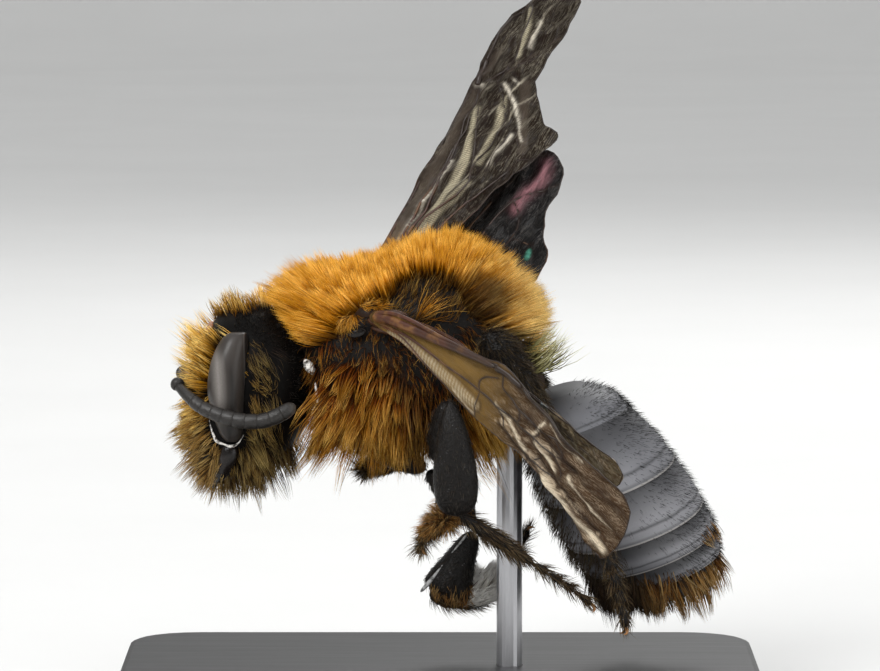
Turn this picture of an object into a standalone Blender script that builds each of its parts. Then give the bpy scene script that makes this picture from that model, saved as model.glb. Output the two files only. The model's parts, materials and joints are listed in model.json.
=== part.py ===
"""A life-size solitary bee, head toward -X and left side toward -Y, held over a flat stand by one rod.

All named sizes are in millimetres and are turned into metres as the meshes are made.
The origin is the centre of the stand's underside.
"""

import math

import bmesh
import bpy
import numpy as np
from mathutils import Matrix, Vector

MM = 0.001
GAP = 0.035

# Display stand
BASE_LENGTH = 18.0
BASE_DEPTH = 14.0
BASE_HEIGHT = 1.3
BASE_CORNER = 2.0
BASE_EDGE = 0.2
ROD_X = 1.95
ROD_RADIUS = 0.36
ROD_TOP = 8.3
ROD_SOCKET_DEPTH = 0.9

# Head: level, front, back, half width, all out to the tips of the hair
HEAD_LEVELS = [
    (11.86, -5.55, -5.25, 0.30),
    (11.62, -6.15, -4.75, 1.05),
    (11.10, -6.75, -4.15, 1.75),
    (10.40, -7.25, -3.75, 2.02),
    (9.60, -7.42, -3.55, 2.08),
    (8.70, -7.50, -3.45, 2.02),
    (7.80, -7.50, -3.50, 1.85),
    (7.00, -7.35, -3.80, 1.60),
    (6.40, -7.10, -4.35, 1.20),
    (5.98, -6.85, -5.30, 0.75),
    (5.78, -6.65, -6.05, 0.25),
]
HEAD_RINGS = 20
HEAD_SIDES = 26
HEAD_TUFTS = 11
TUFT_HEIGHT = 0.05
EYE_CENTRE = (-5.80, 1.82, 9.18)
EYE_RADII = (0.66, 0.62, 1.52)
EYE_TILT = 4.0
EYE_SIDES = 16
EYE_RINGS = 10
MANDIBLE_PATH = [(-5.75, 1.62, 7.75), (-5.85, 1.62, 7.15), (-5.98, 1.30, 6.50), (-6.05, 0.75, 6.02)]
MANDIBLE_RADII = [0.30, 0.32, 0.28, 0.25]
SCAPE_PATH = [(-6.55, 0.55, 8.85), (-6.95, 1.05, 9.15), (-7.30, 1.58, 9.42)]
SCAPE_RADII = [0.25, 0.25, 0.27]
FLAGELLUM_PATH = [
    (-7.26, 1.80, 9.32), (-6.95, 2.12, 9.08), (-6.50, 2.45, 8.78), (-5.74, 2.80, 8.53),
    (-4.98, 2.95, 8.48), (-4.42, 2.90, 8.66), (-4.00, 2.78, 8.92),
]
FAR_FLAGELLUM_PATH = [
    (-7.26, 1.80, 9.32), (-7.12, 2.20, 9.22), (-6.92, 2.62, 8.98), (-6.45, 3.05, 8.70),
    (-5.92, 3.28, 8.52), (-5.48, 3.36, 8.56), (-5.12, 3.36, 8.72),
]
FLAGELLUM_RADII = [0.25, 0.25, 0.25, 0.25, 0.25, 0.25, 0.25]

# Thorax: place along the body, top, bottom, half width, depth of the groove the legs fold into
THORAX_STATIONS = [
    (-4.92, 12.02, 11.50, 0.80, 0.0),
    (-4.55, 12.30, 10.90, 1.75, 0.0),
    (-4.00, 12.58, 9.60, 2.15, 0.0),
    (-3.35, 12.80, 7.30, 2.45, 0.7),
    (-2.60, 12.90, 6.25, 2.65, 1.5),
    (-1.40, 13.15, 6.00, 2.85, 1.8),
    (-0.30, 13.56, 6.15, 2.90, 1.8),
    (0.60, 13.54, 6.50, 2.90, 1.6),
    (1.40, 13.20, 6.40, 2.80, 1.6),
    (2.10, 12.55, 6.40, 2.55, 1.5),
    (2.70, 11.60, 7.00, 2.10, 0.9),
    (3.25, 11.00, 8.40, 1.60, 0.2),
    (3.75, 10.75, 9.70, 1.15, 0.0),
    (4.08, 10.55, 10.15, 0.50, 0.0),
]
THORAX_RINGS = 26
THORAX_SIDES = 28
THORAX_TUFTS = 13
GROOVE_HALF_WIDTH = 1.45
FLANK_SQUARENESS = 0.66
TEGULA_CENTRE = (-1.95, 2.72, 11.42)
TEGULA_RADII = (0.55, 0.34, 0.42)

# Abdomen: spine x, y, z and the half depth and half width there; each gap between rims is one plate.
# The plates' planes are tipped by this many degrees, so that the belly side lies nearer the head.
ABDOMEN_TIP = 11.0
ABDOMEN_RIMS = [
    (3.30, 0.00, 9.05, 0.60, 0.85),
    (3.84, 0.07, 8.05, 1.62, 2.12),
    (4.75, 0.23, 6.54, 1.97, 2.57),
    (5.51, 0.38, 5.21, 2.03, 2.55),
    (6.02, 0.49, 4.33, 1.97, 2.38),
    (6.52, 0.58, 3.52, 1.83, 2.05),
    (6.92, 0.64, 2.72, 1.05, 1.15),
]
SHOULDERS = [1.25, 0.98, 0.96, 0.95, 0.97, 0.98]
BULGES = [0.26, 0.06, 0.05, 0.04, 0.03, 0.10]
PLATE_RINGS = 4
PLATE_SIDES = 24

# Wings: root, tip, roll about the span; outlines are span and chord distances from the root
WING_THICKNESS = 0.5
WING_STEP = 0.62
LEFT_WINGS = ((-1.9, -2.9, 11.4), (4.7, -8.5, 6.0), 40.0)
RIGHT_WINGS = ((-2.0, 2.7, 11.4), (3.9, 5.0, 20.0), -35.0)
LEFT_FORE_OUTLINE = [
    (0.10, 0.22), (0.98, 0.80), (2.95, 1.38), (4.28, 1.75), (5.00, 2.04), (5.87, 1.93), (6.77, 1.70),
    (8.28, 1.36), (9.60, 1.36), (10.20, 1.18), (10.46, 0.75), (10.38, -0.15), (9.98, -1.05),
    (9.50, -0.97), (8.41, -0.60), (7.35, -0.26), (6.00, -0.22), (4.48, -0.23), (2.94, -0.02),
    (1.47, 0.10), (0.25, -0.14),
]
LEFT_HIND_OUTLINE = [
    (0.80, 0.25), (2.35, 0.83), (4.38, 1.06), (6.42, 1.35), (7.50, 1.36), (8.40, 1.38), (9.07, 1.42),
    (9.39, 0.99), (8.77, 0.22), (7.28, -0.23), (4.83, -0.33), (2.68, -0.20), (1.04, -0.15),
]
RIGHT_FORE_OUTLINE = [
    (-0.10, 0.42), (1.91, 0.66), (4.50, 0.92), (6.82, 1.14), (7.40, 1.26), (8.44, 1.45), (9.30, 1.35),
    (9.90, 1.10), (10.45, 0.63), (10.69, -0.02), (10.40, -0.32), (9.64, -0.42), (8.11, -0.47),
    (7.72, -0.60), (7.15, -1.24), (6.84, -1.54), (6.72, -2.20), (5.73, -1.90), (4.69, -1.49),
    (2.95, -1.11), (0.78, -0.58), (0.00, -0.26),
]
RIGHT_HIND_OUTLINE = [
    (1.30, -0.55), (3.00, -0.38), (4.40, -0.92), (5.60, -1.18), (6.20, -1.60), (6.37, -2.00),
    (6.06, -2.56), (5.46, -2.81), (4.65, -2.94), (4.04, -3.32), (3.70, -3.70), (3.29, -3.83), (2.67, -3.76),
    (2.00, -2.95), (1.20, -1.90),
]
OUTLINE_DETAIL = 2

# Legs: knee path and tibia and tarsus paths, each with the radii along it, hair included
LEGS = {
    "fore_left": {
        "femur": ([(-2.10, -0.85, 7.60), (-1.20, -0.90, 7.25), (-0.40, -0.95, 6.95)], [0.40, 0.44, 0.36]),
        "tibia": ([(-0.28, -0.98, 6.85), (0.20, -1.05, 6.25), (0.50, -1.15, 5.62)], [0.34, 0.46, 0.48]),
        "tarsus": ([(0.40, -1.20, 5.45), (0.10, -1.30, 5.12), (-0.25, -1.40, 4.92), (-0.62, -1.45, 4.72)],
                   [0.52, 0.62, 0.48, 0.26]),
    },
    "fore_right": {
        "femur": ([(-2.10, 0.85, 7.60), (-1.60, 0.88, 7.22), (-1.00, 0.90, 6.95)], [0.40, 0.44, 0.36]),
        "tibia": ([(-0.90, 0.88, 6.85), (-1.45, 0.72, 6.50), (-2.00, 0.52, 6.42)], [0.34, 0.40, 0.36]),
        "tarsus": ([(-2.10, 0.42, 6.42), (-2.05, 0.15, 6.45), (-1.85, -0.10, 6.52)], [0.32, 0.30, 0.26]),
    },
    "mid_left": {
        "femur": ([(-0.05, -1.80, 7.30), (0.10, -2.60, 8.20), (0.25, -3.25, 9.05)], [0.45, 0.50, 0.42]),
        "tibia": ([(0.28, -3.35, 9.05), (0.35, -3.30, 8.10), (0.42, -3.15, 7.00), (0.46, -2.90, 6.05)],
                  [0.42, 0.60, 0.58, 0.50]),
        "tarsus": ([(0.62, -2.85, 5.80), (1.90, -2.65, 4.95), (3.10, -2.50, 4.15), (3.72, -2.45, 3.72),
                    (4.25, -2.42, 3.28)], [0.42, 0.42, 0.36, 0.26, 0.25]),
    },
    "mid_right": {
        "femur": ([(0.10, 1.00, 8.20), (0.35, 0.95, 6.60), (0.70, 0.90, 5.15)], [0.45, 0.46, 0.36]),
        "tibia": ([(0.78, 0.90, 4.95), (0.40, 0.95, 4.10), (0.05, 1.00, 3.35)], [0.34, 0.54, 0.66]),
        "tarsus": ([(-0.34, 1.10, 3.14), (0.40, 1.30, 3.00), (1.29, 1.50, 3.12), (1.90, 1.70, 3.80),
                    (2.50, 1.85, 4.95)], [0.40, 0.56, 0.50, 0.27, 0.25]),
    },
    "hind_left": {
        "femur": ([(1.65, -1.90, 8.10), (1.54, -2.35, 9.00), (1.42, -2.68, 9.72)], [0.45, 0.56, 0.42]),
        "tibia": ([(1.14, -3.02, 10.84), (1.52, -3.10, 10.55), (2.05, -3.18, 9.85), (2.75, -3.24, 8.70),
                   (3.42, -3.25, 7.52)], [0.48, 0.62, 0.56, 0.54, 0.56]),
        "tarsus": ([(3.48, -3.25, 7.35), (4.05, -3.20, 6.10), (4.62, -3.12, 4.79), (4.95, -3.08, 3.70),
                    (5.15, -3.02, 2.66)], [0.48, 0.54, 0.46, 0.34, 0.26]),
    },
    "hind_right": {
        "femur": ([(1.65, 1.90, 8.10), (1.70, 2.60, 9.20), (1.76, 3.00, 10.20)], [0.45, 0.66, 0.66]),
        "tibia": ([(1.95, 3.10, 10.05), (2.75, 3.25, 8.60), (3.60, 3.40, 7.00)], [0.46, 0.54, 0.56]),
        "tarsus": ([(3.66, 3.42, 6.85), (4.30, 3.40, 5.80), (5.00, 3.30, 4.60), (5.35, 3.20, 3.80),
                    (5.60, 3.10, 3.00)], [0.46, 0.52, 0.44, 0.32, 0.26]),
    },
}
LIMB_RINGS = 7
LIMB_END = 0.5
LIMB_SQUARENESS = 12

COLOURS = {
    "stand": ((0.03, 0.03, 0.03), 0.35),
    "plate": ((0.04, 0.04, 0.05), 0.30),
    "pile": ((0.72, 0.36, 0.06), 0.80),
    "face": ((0.42, 0.26, 0.08), 0.80),
    "eye": ((0.08, 0.07, 0.06), 0.25),
    "leg": ((0.06, 0.04, 0.03), 0.50),
    "wing": ((0.20, 0.15, 0.10), 0.30),
    "fringe": ((0.40, 0.18, 0.05), 0.80),
}


def clear_scene():
    for thing in list(bpy.data.objects):
        bpy.data.objects.remove(thing)


def new_collection(name):
    collection = bpy.data.collections.new(name)
    bpy.context.scene.collection.children.link(collection)
    return collection


def finish_of(name):
    """The Principled material of this name, made when it is first asked for."""
    found = bpy.data.materials.get(name)
    if found:
        return found
    colour, roughness = COLOURS[name]
    found = bpy.data.materials.new(name)
    found.use_nodes = True
    shader = found.node_tree.nodes["Principled BSDF"]
    shader.inputs["Base Color"].default_value = (*colour, 1.0)
    shader.inputs["Roughness"].default_value = roughness
    shader.inputs["Metallic"].default_value = 0.0
    return found


def smooth_rows(rows, per_gap, closed=False):
    """Rows of numbers along a Catmull-Rom curve through the given rows."""
    rows = np.array(rows, float)
    count = len(rows)
    gaps = count if closed else count - 1
    result = []
    for gap in range(gaps):
        around = []
        for step in (-1, 0, 1, 2):
            index = gap + step
            around.append(rows[index % count] if closed else rows[min(max(index, 0), count - 1)])
        before, start, end, after = around
        for part in range(per_gap):
            t = part / per_gap
            result.append(0.5 * (2 * start + (end - before) * t
                                 + (2 * before - 5 * start + 4 * end - after) * t * t
                                 + (3 * start - before - 3 * end + after) * t ** 3))
    if not closed:
        result.append(rows[-1])
    return np.array(result)


def resampled(rows, count):
    """The smooth curve through rows, read at places that crowd toward both ends."""
    fine = smooth_rows(rows, 12)
    steps = np.linalg.norm(np.diff(fine[:, :3], axis=0), axis=1)
    along = np.concatenate([[0.0], np.cumsum(steps)])
    places = along[-1] * crowded(count)
    return np.column_stack([np.interp(places, along, column) for column in fine.T])


def crowded(count):
    """Fractions from 0 to 1 that lie closer together near both ends."""
    return 0.5 - 0.5 * np.cos(np.linspace(0.0, math.pi, count))


def add_mesh_object(name, mesh, finish, collection):
    thing = bpy.data.objects.new(name, mesh)
    mesh.materials.clear()
    mesh.materials.append(finish_of(finish))
    mesh.shade_smooth()
    collection.objects.link(thing)
    return thing


def loft(name, rings, finish, collection):
    """A closed body through rings of points in millimetres, with a flat face over each end."""
    work = bmesh.new()
    loops = [[work.verts.new(Vector(point) * MM) for point in ring] for ring in rings]
    for lower, upper in zip(loops, loops[1:]):
        for index in range(len(lower)):
            following = (index + 1) % len(lower)
            work.faces.new((lower[index], lower[following], upper[following], upper[index]))
    work.faces.new(list(reversed(loops[0])))
    work.faces.new(loops[-1])
    bmesh.ops.recalc_face_normals(work, faces=work.faces)
    mesh = bpy.data.meshes.new(name)
    work.to_mesh(mesh)
    work.free()
    return add_mesh_object(name, mesh, finish, collection)


def mesh_from_curve(name, curve, matrix, finish, collection):
    """The curve's solid as a mesh object with its caps welded."""
    source = bpy.data.objects.new(name + "_path", curve)
    collection.objects.link(source)
    source.matrix_world = matrix
    bpy.context.view_layer.update()
    evaluated = source.evaluated_get(bpy.context.evaluated_depsgraph_get())
    mesh = bpy.data.meshes.new_from_object(evaluated)
    work = bmesh.new()
    work.from_mesh(mesh)
    bmesh.ops.remove_doubles(work, verts=work.verts, dist=0.001 * MM)
    bmesh.ops.recalc_face_normals(work, faces=work.faces)
    work.to_mesh(mesh)
    work.free()
    thing = add_mesh_object(name, mesh, finish, collection)
    thing.matrix_world = source.matrix_world
    bpy.data.objects.remove(source)
    return thing


def tube(name, path, radii, rings, finish, collection):
    """A round limb along a path in millimetres, with its own radius at each point."""
    rows = resampled([(*point, radius) for point, radius in zip(path, radii)], rings)
    rounding = np.sqrt(1.0 - np.abs(1.0 - 2.0 * crowded(rings)) ** LIMB_SQUARENESS)
    rows[:, 3] *= np.maximum(rounding, LIMB_END)
    curve = bpy.data.curves.new(name, "CURVE")
    curve.dimensions = "3D"
    curve.bevel_depth = MM
    curve.bevel_resolution = 2
    curve.use_fill_caps = True
    spline = curve.splines.new("POLY")
    spline.points.add(rings - 1)
    for point, row in zip(spline.points, rows):
        point.co = (*(row[:3] * MM), 1.0)
        point.radius = row[3]
    return mesh_from_curve(name, curve, Matrix.Identity(4), finish, collection)


def ellipsoid(name, centre, radii, tilt, finish, collection):
    work = bmesh.new()
    bmesh.ops.create_uvsphere(work, u_segments=EYE_SIDES, v_segments=EYE_RINGS, radius=MM)
    bmesh.ops.scale(work, vec=radii, verts=work.verts)
    bmesh.ops.rotate(work, matrix=Matrix.Rotation(math.radians(tilt), 3, "Y"), verts=work.verts)
    mesh = bpy.data.meshes.new(name)
    work.to_mesh(mesh)
    work.free()
    thing = add_mesh_object(name, mesh, finish, collection)
    thing.location = Vector(centre) * MM
    return thing


def cut(target, tool, cutters, gap=GAP):
    """Takes the tool's shape, grown by the gap, out of the target."""
    name = f"{tool.name}_grown"
    grown = cutters.objects.get(name)
    if grown is None:
        mesh = tool.data.copy()
        moves = [vertex.co + vertex.normal * gap * MM for vertex in mesh.vertices]
        for vertex, place in zip(mesh.vertices, moves):
            vertex.co = place
        grown = bpy.data.objects.new(name, mesh)
        grown.matrix_world = tool.matrix_world
        grown.hide_render = True
        grown.display_type = "WIRE"
        cutters.objects.link(grown)
    modifier = target.modifiers.new(f"clear_{tool.name}", "BOOLEAN")
    modifier.operation = "DIFFERENCE"
    modifier.solver = "EXACT"
    modifier.object = grown


def keep_largest_body(thing):
    """Bakes the cuts in and drops the crumbs that they leave beside the main body."""
    mesh = bpy.data.meshes.new_from_object(thing.evaluated_get(bpy.context.evaluated_depsgraph_get()))
    work = bmesh.new()
    work.from_mesh(mesh)
    unseen = set(work.verts)
    bodies = []
    while unseen:
        body = {unseen.pop()}
        edge_of_body = list(body)
        while edge_of_body:
            vertex = edge_of_body.pop()
            for edge in vertex.link_edges:
                neighbour = edge.other_vert(vertex)
                if neighbour in unseen:
                    unseen.remove(neighbour)
                    body.add(neighbour)
                    edge_of_body.append(neighbour)
        bodies.append(body)
    bodies.sort(key=len)
    crumbs = [vertex for body in bodies[:-1] for vertex in body]
    bmesh.ops.delete(work, geom=crumbs, context="VERTS")
    work.to_mesh(mesh)
    work.free()
    thing.modifiers.clear()
    thing.data = mesh


def side_signs():
    return (("left", -1.0), ("right", 1.0))


def mirrored(path, sign):
    return [(x, y * sign, z) for x, y, z in path]


def make_stand(parts, cutters):
    work = bmesh.new()
    bmesh.ops.create_cube(work, size=1.0)
    size = Vector((BASE_LENGTH, BASE_DEPTH, BASE_HEIGHT)) * MM
    bmesh.ops.scale(work, vec=size, verts=work.verts)
    bmesh.ops.translate(work, vec=(0, 0, size.z / 2), verts=work.verts)
    corners = [edge for edge in work.edges if abs(edge.verts[0].co.z - edge.verts[1].co.z) > size.z / 2]
    bmesh.ops.bevel(work, geom=corners, offset=BASE_CORNER * MM, segments=6, profile=0.5,
                    affect="EDGES")
    rim = [edge for edge in work.edges if min(vertex.co.z for vertex in edge.verts) > size.z * 0.99]
    bmesh.ops.bevel(work, geom=rim, offset=BASE_EDGE * MM, segments=2, profile=0.5, affect="EDGES")
    mesh = bpy.data.meshes.new("stand_base")
    work.to_mesh(mesh)
    work.free()
    base = add_mesh_object("stand_base", mesh, "stand", parts)
    mesh.set_sharp_from_angle(angle=math.radians(30))

    bottom = BASE_HEIGHT - ROD_SOCKET_DEPTH
    work = bmesh.new()
    bmesh.ops.create_cone(work, cap_ends=True, segments=20, radius1=ROD_RADIUS * MM,
                          radius2=ROD_RADIUS * MM, depth=(ROD_TOP - bottom) * MM)
    mesh = bpy.data.meshes.new("stand_rod")
    work.to_mesh(mesh)
    work.free()
    rod = add_mesh_object("stand_rod", mesh, "stand", parts)
    mesh.set_sharp_from_angle(angle=math.radians(30))
    rod.location = Vector((ROD_X, 0.0, (ROD_TOP + bottom) / 2)) * MM
    bpy.context.view_layer.update()
    cut(base, rod, cutters)
    return rod


def tuft_wave(angle, place, tufts):
    """A low ripple that gives the hair's surface its locks."""
    return 1.0 + TUFT_HEIGHT * math.sin(tufts * angle + 2.4 * place) * math.sin(1.7 * place)


def make_head(parts):
    rings = []
    for level, front, back, half_width in smooth_level_rows(HEAD_LEVELS, HEAD_RINGS):
        middle = (front + back) / 2
        reach = (back - front) / 2
        ring = []
        for step in range(HEAD_SIDES):
            angle = 2 * math.pi * step / HEAD_SIDES
            wave = tuft_wave(angle, level, HEAD_TUFTS)
            ring.append((middle + reach * wave * math.cos(angle), half_width * math.sin(angle), level))
        rings.append(ring)
    return loft("head", rings, "face", parts)


def smooth_level_rows(rows, count):
    """Rows read off the smooth curve at places that crowd toward both ends."""
    fine = smooth_rows(rows, 16)
    order = np.argsort(fine[:, 0])
    fine = fine[order]
    low, high = fine[0, 0], fine[-1, 0]
    places = low + (high - low) * crowded(count)
    return np.column_stack([np.interp(places, fine[:, 0], column) for column in fine.T])


def make_thorax(parts):
    rings = []
    for place, top, bottom, half_width, groove in smooth_level_rows(THORAX_STATIONS, THORAX_RINGS):
        middle = (top + bottom) / 2
        reach = (top - bottom) / 2
        ring = []
        for step in range(THORAX_SIDES):
            angle = 2 * math.pi * step / THORAX_SIDES
            wave = tuft_wave(angle, place, THORAX_TUFTS)
            across = math.cos(angle)
            rise = math.sin(angle)
            if rise < -1e-6:
                depth = (-rise) ** FLANK_SQUARENESS
                y = half_width * math.copysign(abs(across) ** FLANK_SQUARENESS, across)
                z = middle - reach * wave * depth
                z += groove * depth * math.exp(-(y / GROOVE_HALF_WIDTH) ** 2)
            else:
                y = half_width * across
                z = middle + reach * wave * rise
            ring.append((place, y, z))
        rings.append(ring)
    return loft("thorax", rings, "pile", parts)


def abdomen_ring(centre, axis, radii):
    """An oval ring across the abdomen: its first reach is toward the back, its second to the side."""
    tip = math.radians(ABDOMEN_TIP)
    axis = axis / np.linalg.norm(axis)
    axis = np.array([axis[0] * math.cos(tip) + axis[2] * math.sin(tip), axis[1],
                     axis[2] * math.cos(tip) - axis[0] * math.sin(tip)])
    depth_way = np.array([-axis[2], 0.0, axis[0]])
    depth_way /= np.linalg.norm(depth_way)
    width_way = np.cross(axis, depth_way)
    ring = []
    for side in range(PLATE_SIDES):
        angle = 2 * math.pi * side / PLATE_SIDES
        ring.append(centre + depth_way * radii[0] * math.cos(angle) + width_way * radii[1] * math.sin(angle))
    return ring


def make_abdomen(parts):
    """Six plates, each starting just behind the rim of the one before it."""
    rims = np.array(ABDOMEN_RIMS)
    axes = np.gradient(rims[:, :3], axis=0)
    axes /= np.linalg.norm(axes, axis=1)[:, None]
    plates = []
    for index, shoulder in enumerate(SHOULDERS):
        start = rims[index].copy()
        end = rims[index + 1]
        start[:3] += axes[index] * GAP
        rings = []
        for along in np.linspace(0.0, 1.0, PLATE_RINGS):
            row = start * (1 - along) + end * along
            axis = axes[index] * (1 - along) + axes[index + 1] * along
            radii = row[3:] * (shoulder * (1 - along) + along) + BULGES[index] * math.sin(math.pi * along)
            rings.append(abdomen_ring(row[:3], axis, radii))
        finish = "plate" if index < 4 else "fringe"
        plates.append(loft(f"abdomen_{index + 1}", rings, finish, parts))
    return plates


def wing_matrix(root, tip, roll, offset):
    """Local X along the span, Y toward the leading edge and Z out of the wing's outer face."""
    root = Vector(root)
    span = (Vector(tip) - root).normalized()
    level = Vector((-span.z, 0.0, span.x)).normalized()
    turned = math.radians(roll)
    chord = level * math.cos(turned) + span.cross(level) * math.sin(turned)
    normal = span.cross(chord)
    matrix = Matrix((span, chord, normal)).transposed().to_4x4()
    matrix.translation = (root + normal * offset) * MM
    return matrix


def make_wing(name, placing, outline, offset, parts):
    curve = bpy.data.curves.new(name, "CURVE")
    curve.dimensions = "2D"
    curve.fill_mode = "BOTH"
    curve.extrude = WING_THICKNESS / 2 * MM
    points = smooth_rows(outline, OUTLINE_DETAIL, closed=True)
    spline = curve.splines.new("POLY")
    spline.points.add(len(points) - 1)
    for point, place in zip(spline.points, points):
        point.co = (place[0] * MM, place[1] * MM, 0.0, 1.0)
    spline.use_cyclic_u = True
    return mesh_from_curve(name, curve, wing_matrix(*placing, offset), "wing", parts)


def make_leg(name, lengths, parts):
    made = {}
    for length, (path, radii) in lengths.items():
        made[length] = tube(f"leg_{name}_{length}", path, radii, LIMB_RINGS, "leg", parts)
    return made


def make_bee():
    clear_scene()
    parts = new_collection("bee")
    cutters = new_collection("cutters")

    rod = make_stand(parts, cutters)
    head = make_head(parts)
    thorax = make_thorax(parts)
    plates = make_abdomen(parts)
    cut(thorax, head, cutters)
    for bare in (rod, plates[0]):
        cut(bare, thorax, cutters)

    for side, sign in side_signs():
        eye_place = (EYE_CENTRE[0], EYE_CENTRE[1] * sign, EYE_CENTRE[2])
        eye = ellipsoid(f"eye_{side}", eye_place, EYE_RADII, EYE_TILT, "eye", parts)
        mandible = tube(f"mandible_{side}", mirrored(MANDIBLE_PATH, sign), MANDIBLE_RADII, LIMB_RINGS,
                        "plate", parts)
        scape = tube(f"antenna_scape_{side}", mirrored(SCAPE_PATH, sign), SCAPE_RADII, 4, "leg", parts)
        route = FLAGELLUM_PATH if side == "left" else FAR_FLAGELLUM_PATH
        flagellum = tube(f"antenna_flagellum_{side}", mirrored(route, sign), FLAGELLUM_RADII, 12,
                         "leg", parts)
        tegula_place = (TEGULA_CENTRE[0], TEGULA_CENTRE[1] * sign, TEGULA_CENTRE[2])
        tegula = ellipsoid(f"tegula_{side}", tegula_place, TEGULA_RADII, 0.0, "plate", parts)
        bpy.context.view_layer.update()
        cut(head, eye, cutters)
        cut(head, mandible, cutters)
        cut(mandible, eye, cutters)
        cut(scape, head, cutters)
        cut(flagellum, scape, cutters)
        cut(flagellum, head, cutters)
        cut(tegula, thorax, cutters)
        placing, fore_outline, hind_outline = (
            (LEFT_WINGS, LEFT_FORE_OUTLINE, LEFT_HIND_OUTLINE) if side == "left"
            else (RIGHT_WINGS, RIGHT_FORE_OUTLINE, RIGHT_HIND_OUTLINE))
        fore = make_wing(f"forewing_{side}", placing, fore_outline, 0.0, parts)
        hind = make_wing(f"hindwing_{side}", placing, hind_outline, -WING_STEP, parts)
        for wing in (fore, hind):
            cut(wing, thorax, cutters)
            cut(wing, tegula, cutters)

    for name, lengths in LEGS.items():
        leg = make_leg(name, lengths, parts)
        for length in leg.values():
            cut(length, thorax, cutters)
        cut(leg["tibia"], leg["femur"], cutters)
        cut(leg["tarsus"], leg["tibia"], cutters)

    bpy.context.view_layer.update()
    for thing in parts.objects:
        keep_largest_body(thing)


make_bee()
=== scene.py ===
"""The bee's looks: shell, eyes, wings, legs and coat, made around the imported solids.

Sizes are in millimetres, as in the solids' own source, and become metres as each mesh is made.
The head points to -X and the bee's left side faces -Y.
"""

import json
import math

import bmesh
import bpy
import numpy as np
from mathutils import Vector, geometry, kdtree
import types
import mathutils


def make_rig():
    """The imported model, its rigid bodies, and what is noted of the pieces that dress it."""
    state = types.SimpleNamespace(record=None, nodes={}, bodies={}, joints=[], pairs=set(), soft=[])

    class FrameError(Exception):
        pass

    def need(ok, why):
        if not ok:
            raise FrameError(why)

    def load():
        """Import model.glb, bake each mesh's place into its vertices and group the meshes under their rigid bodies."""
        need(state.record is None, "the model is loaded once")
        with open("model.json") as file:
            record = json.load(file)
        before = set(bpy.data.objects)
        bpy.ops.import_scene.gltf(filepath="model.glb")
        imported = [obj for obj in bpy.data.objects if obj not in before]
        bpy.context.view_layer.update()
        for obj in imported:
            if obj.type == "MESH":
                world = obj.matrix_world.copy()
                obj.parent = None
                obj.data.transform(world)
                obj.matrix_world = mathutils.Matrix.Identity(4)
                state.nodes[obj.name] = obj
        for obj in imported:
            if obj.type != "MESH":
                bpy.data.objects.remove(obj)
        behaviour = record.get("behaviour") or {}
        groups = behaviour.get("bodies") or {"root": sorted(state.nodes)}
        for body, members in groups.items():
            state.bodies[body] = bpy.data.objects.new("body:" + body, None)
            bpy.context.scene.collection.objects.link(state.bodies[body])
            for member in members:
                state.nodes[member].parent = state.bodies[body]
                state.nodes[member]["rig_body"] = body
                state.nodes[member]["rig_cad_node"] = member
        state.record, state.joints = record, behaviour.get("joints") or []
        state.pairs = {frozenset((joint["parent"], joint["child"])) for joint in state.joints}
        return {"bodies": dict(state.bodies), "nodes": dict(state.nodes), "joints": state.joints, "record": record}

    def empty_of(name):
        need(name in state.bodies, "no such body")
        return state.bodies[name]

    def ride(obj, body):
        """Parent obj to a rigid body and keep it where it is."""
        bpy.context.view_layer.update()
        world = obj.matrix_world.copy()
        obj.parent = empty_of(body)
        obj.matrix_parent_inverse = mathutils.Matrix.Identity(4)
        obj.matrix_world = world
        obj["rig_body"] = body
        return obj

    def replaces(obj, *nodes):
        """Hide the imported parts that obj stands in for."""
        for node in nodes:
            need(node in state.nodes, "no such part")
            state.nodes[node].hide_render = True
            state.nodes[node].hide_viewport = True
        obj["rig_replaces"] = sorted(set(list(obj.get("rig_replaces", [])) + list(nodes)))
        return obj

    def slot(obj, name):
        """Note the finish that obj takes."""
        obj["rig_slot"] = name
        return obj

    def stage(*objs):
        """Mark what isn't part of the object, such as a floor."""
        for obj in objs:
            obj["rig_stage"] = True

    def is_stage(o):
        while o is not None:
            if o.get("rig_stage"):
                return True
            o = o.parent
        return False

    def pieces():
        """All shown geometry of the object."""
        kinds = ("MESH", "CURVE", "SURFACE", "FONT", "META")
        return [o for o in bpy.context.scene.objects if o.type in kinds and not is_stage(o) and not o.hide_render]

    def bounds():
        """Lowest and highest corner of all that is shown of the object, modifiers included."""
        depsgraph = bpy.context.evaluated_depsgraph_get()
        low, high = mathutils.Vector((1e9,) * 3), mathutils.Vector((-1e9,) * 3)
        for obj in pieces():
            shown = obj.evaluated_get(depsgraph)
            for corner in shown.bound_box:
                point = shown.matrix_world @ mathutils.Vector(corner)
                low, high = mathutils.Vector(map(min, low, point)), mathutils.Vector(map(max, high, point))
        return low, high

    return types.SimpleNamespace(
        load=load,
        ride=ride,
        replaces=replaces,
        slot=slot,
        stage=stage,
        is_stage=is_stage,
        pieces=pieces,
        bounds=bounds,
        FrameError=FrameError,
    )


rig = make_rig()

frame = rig.load()
CAD_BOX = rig.bounds()

MM = 0.001
SIDES = (("left", -1.0), ("right", 1.0))

# The coat: a tuft's share of the unwrap, the most triangles of a piece, and how deep hairs are rooted
TUFT_PATCH = 0.003
COAT_LIMIT = 190000
ROOT_DEPTH = 0.03

# Camera and studio
LENS = 250.0
SENSOR = 36.0
VIEW_WIDTH = 24.64
VIEW_HEIGHT = 10.6
VIEW_RISE = 5.0

# Placings shared with the solids: the eye's centre, and each pair of wings' root, tip and roll
EYE_CENTRE = (-5.8, 1.82, 9.18)
LEFT_WINGS = ((-1.9, -2.9, 11.4), (4.7, -8.5, 6.0), 40.0)
RIGHT_WINGS = ((-2.0, 2.7, 11.4), (3.9, 5.0, 20.0), -35.0)
WING_STEP = 0.62


# ---- numbers and curves

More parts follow.
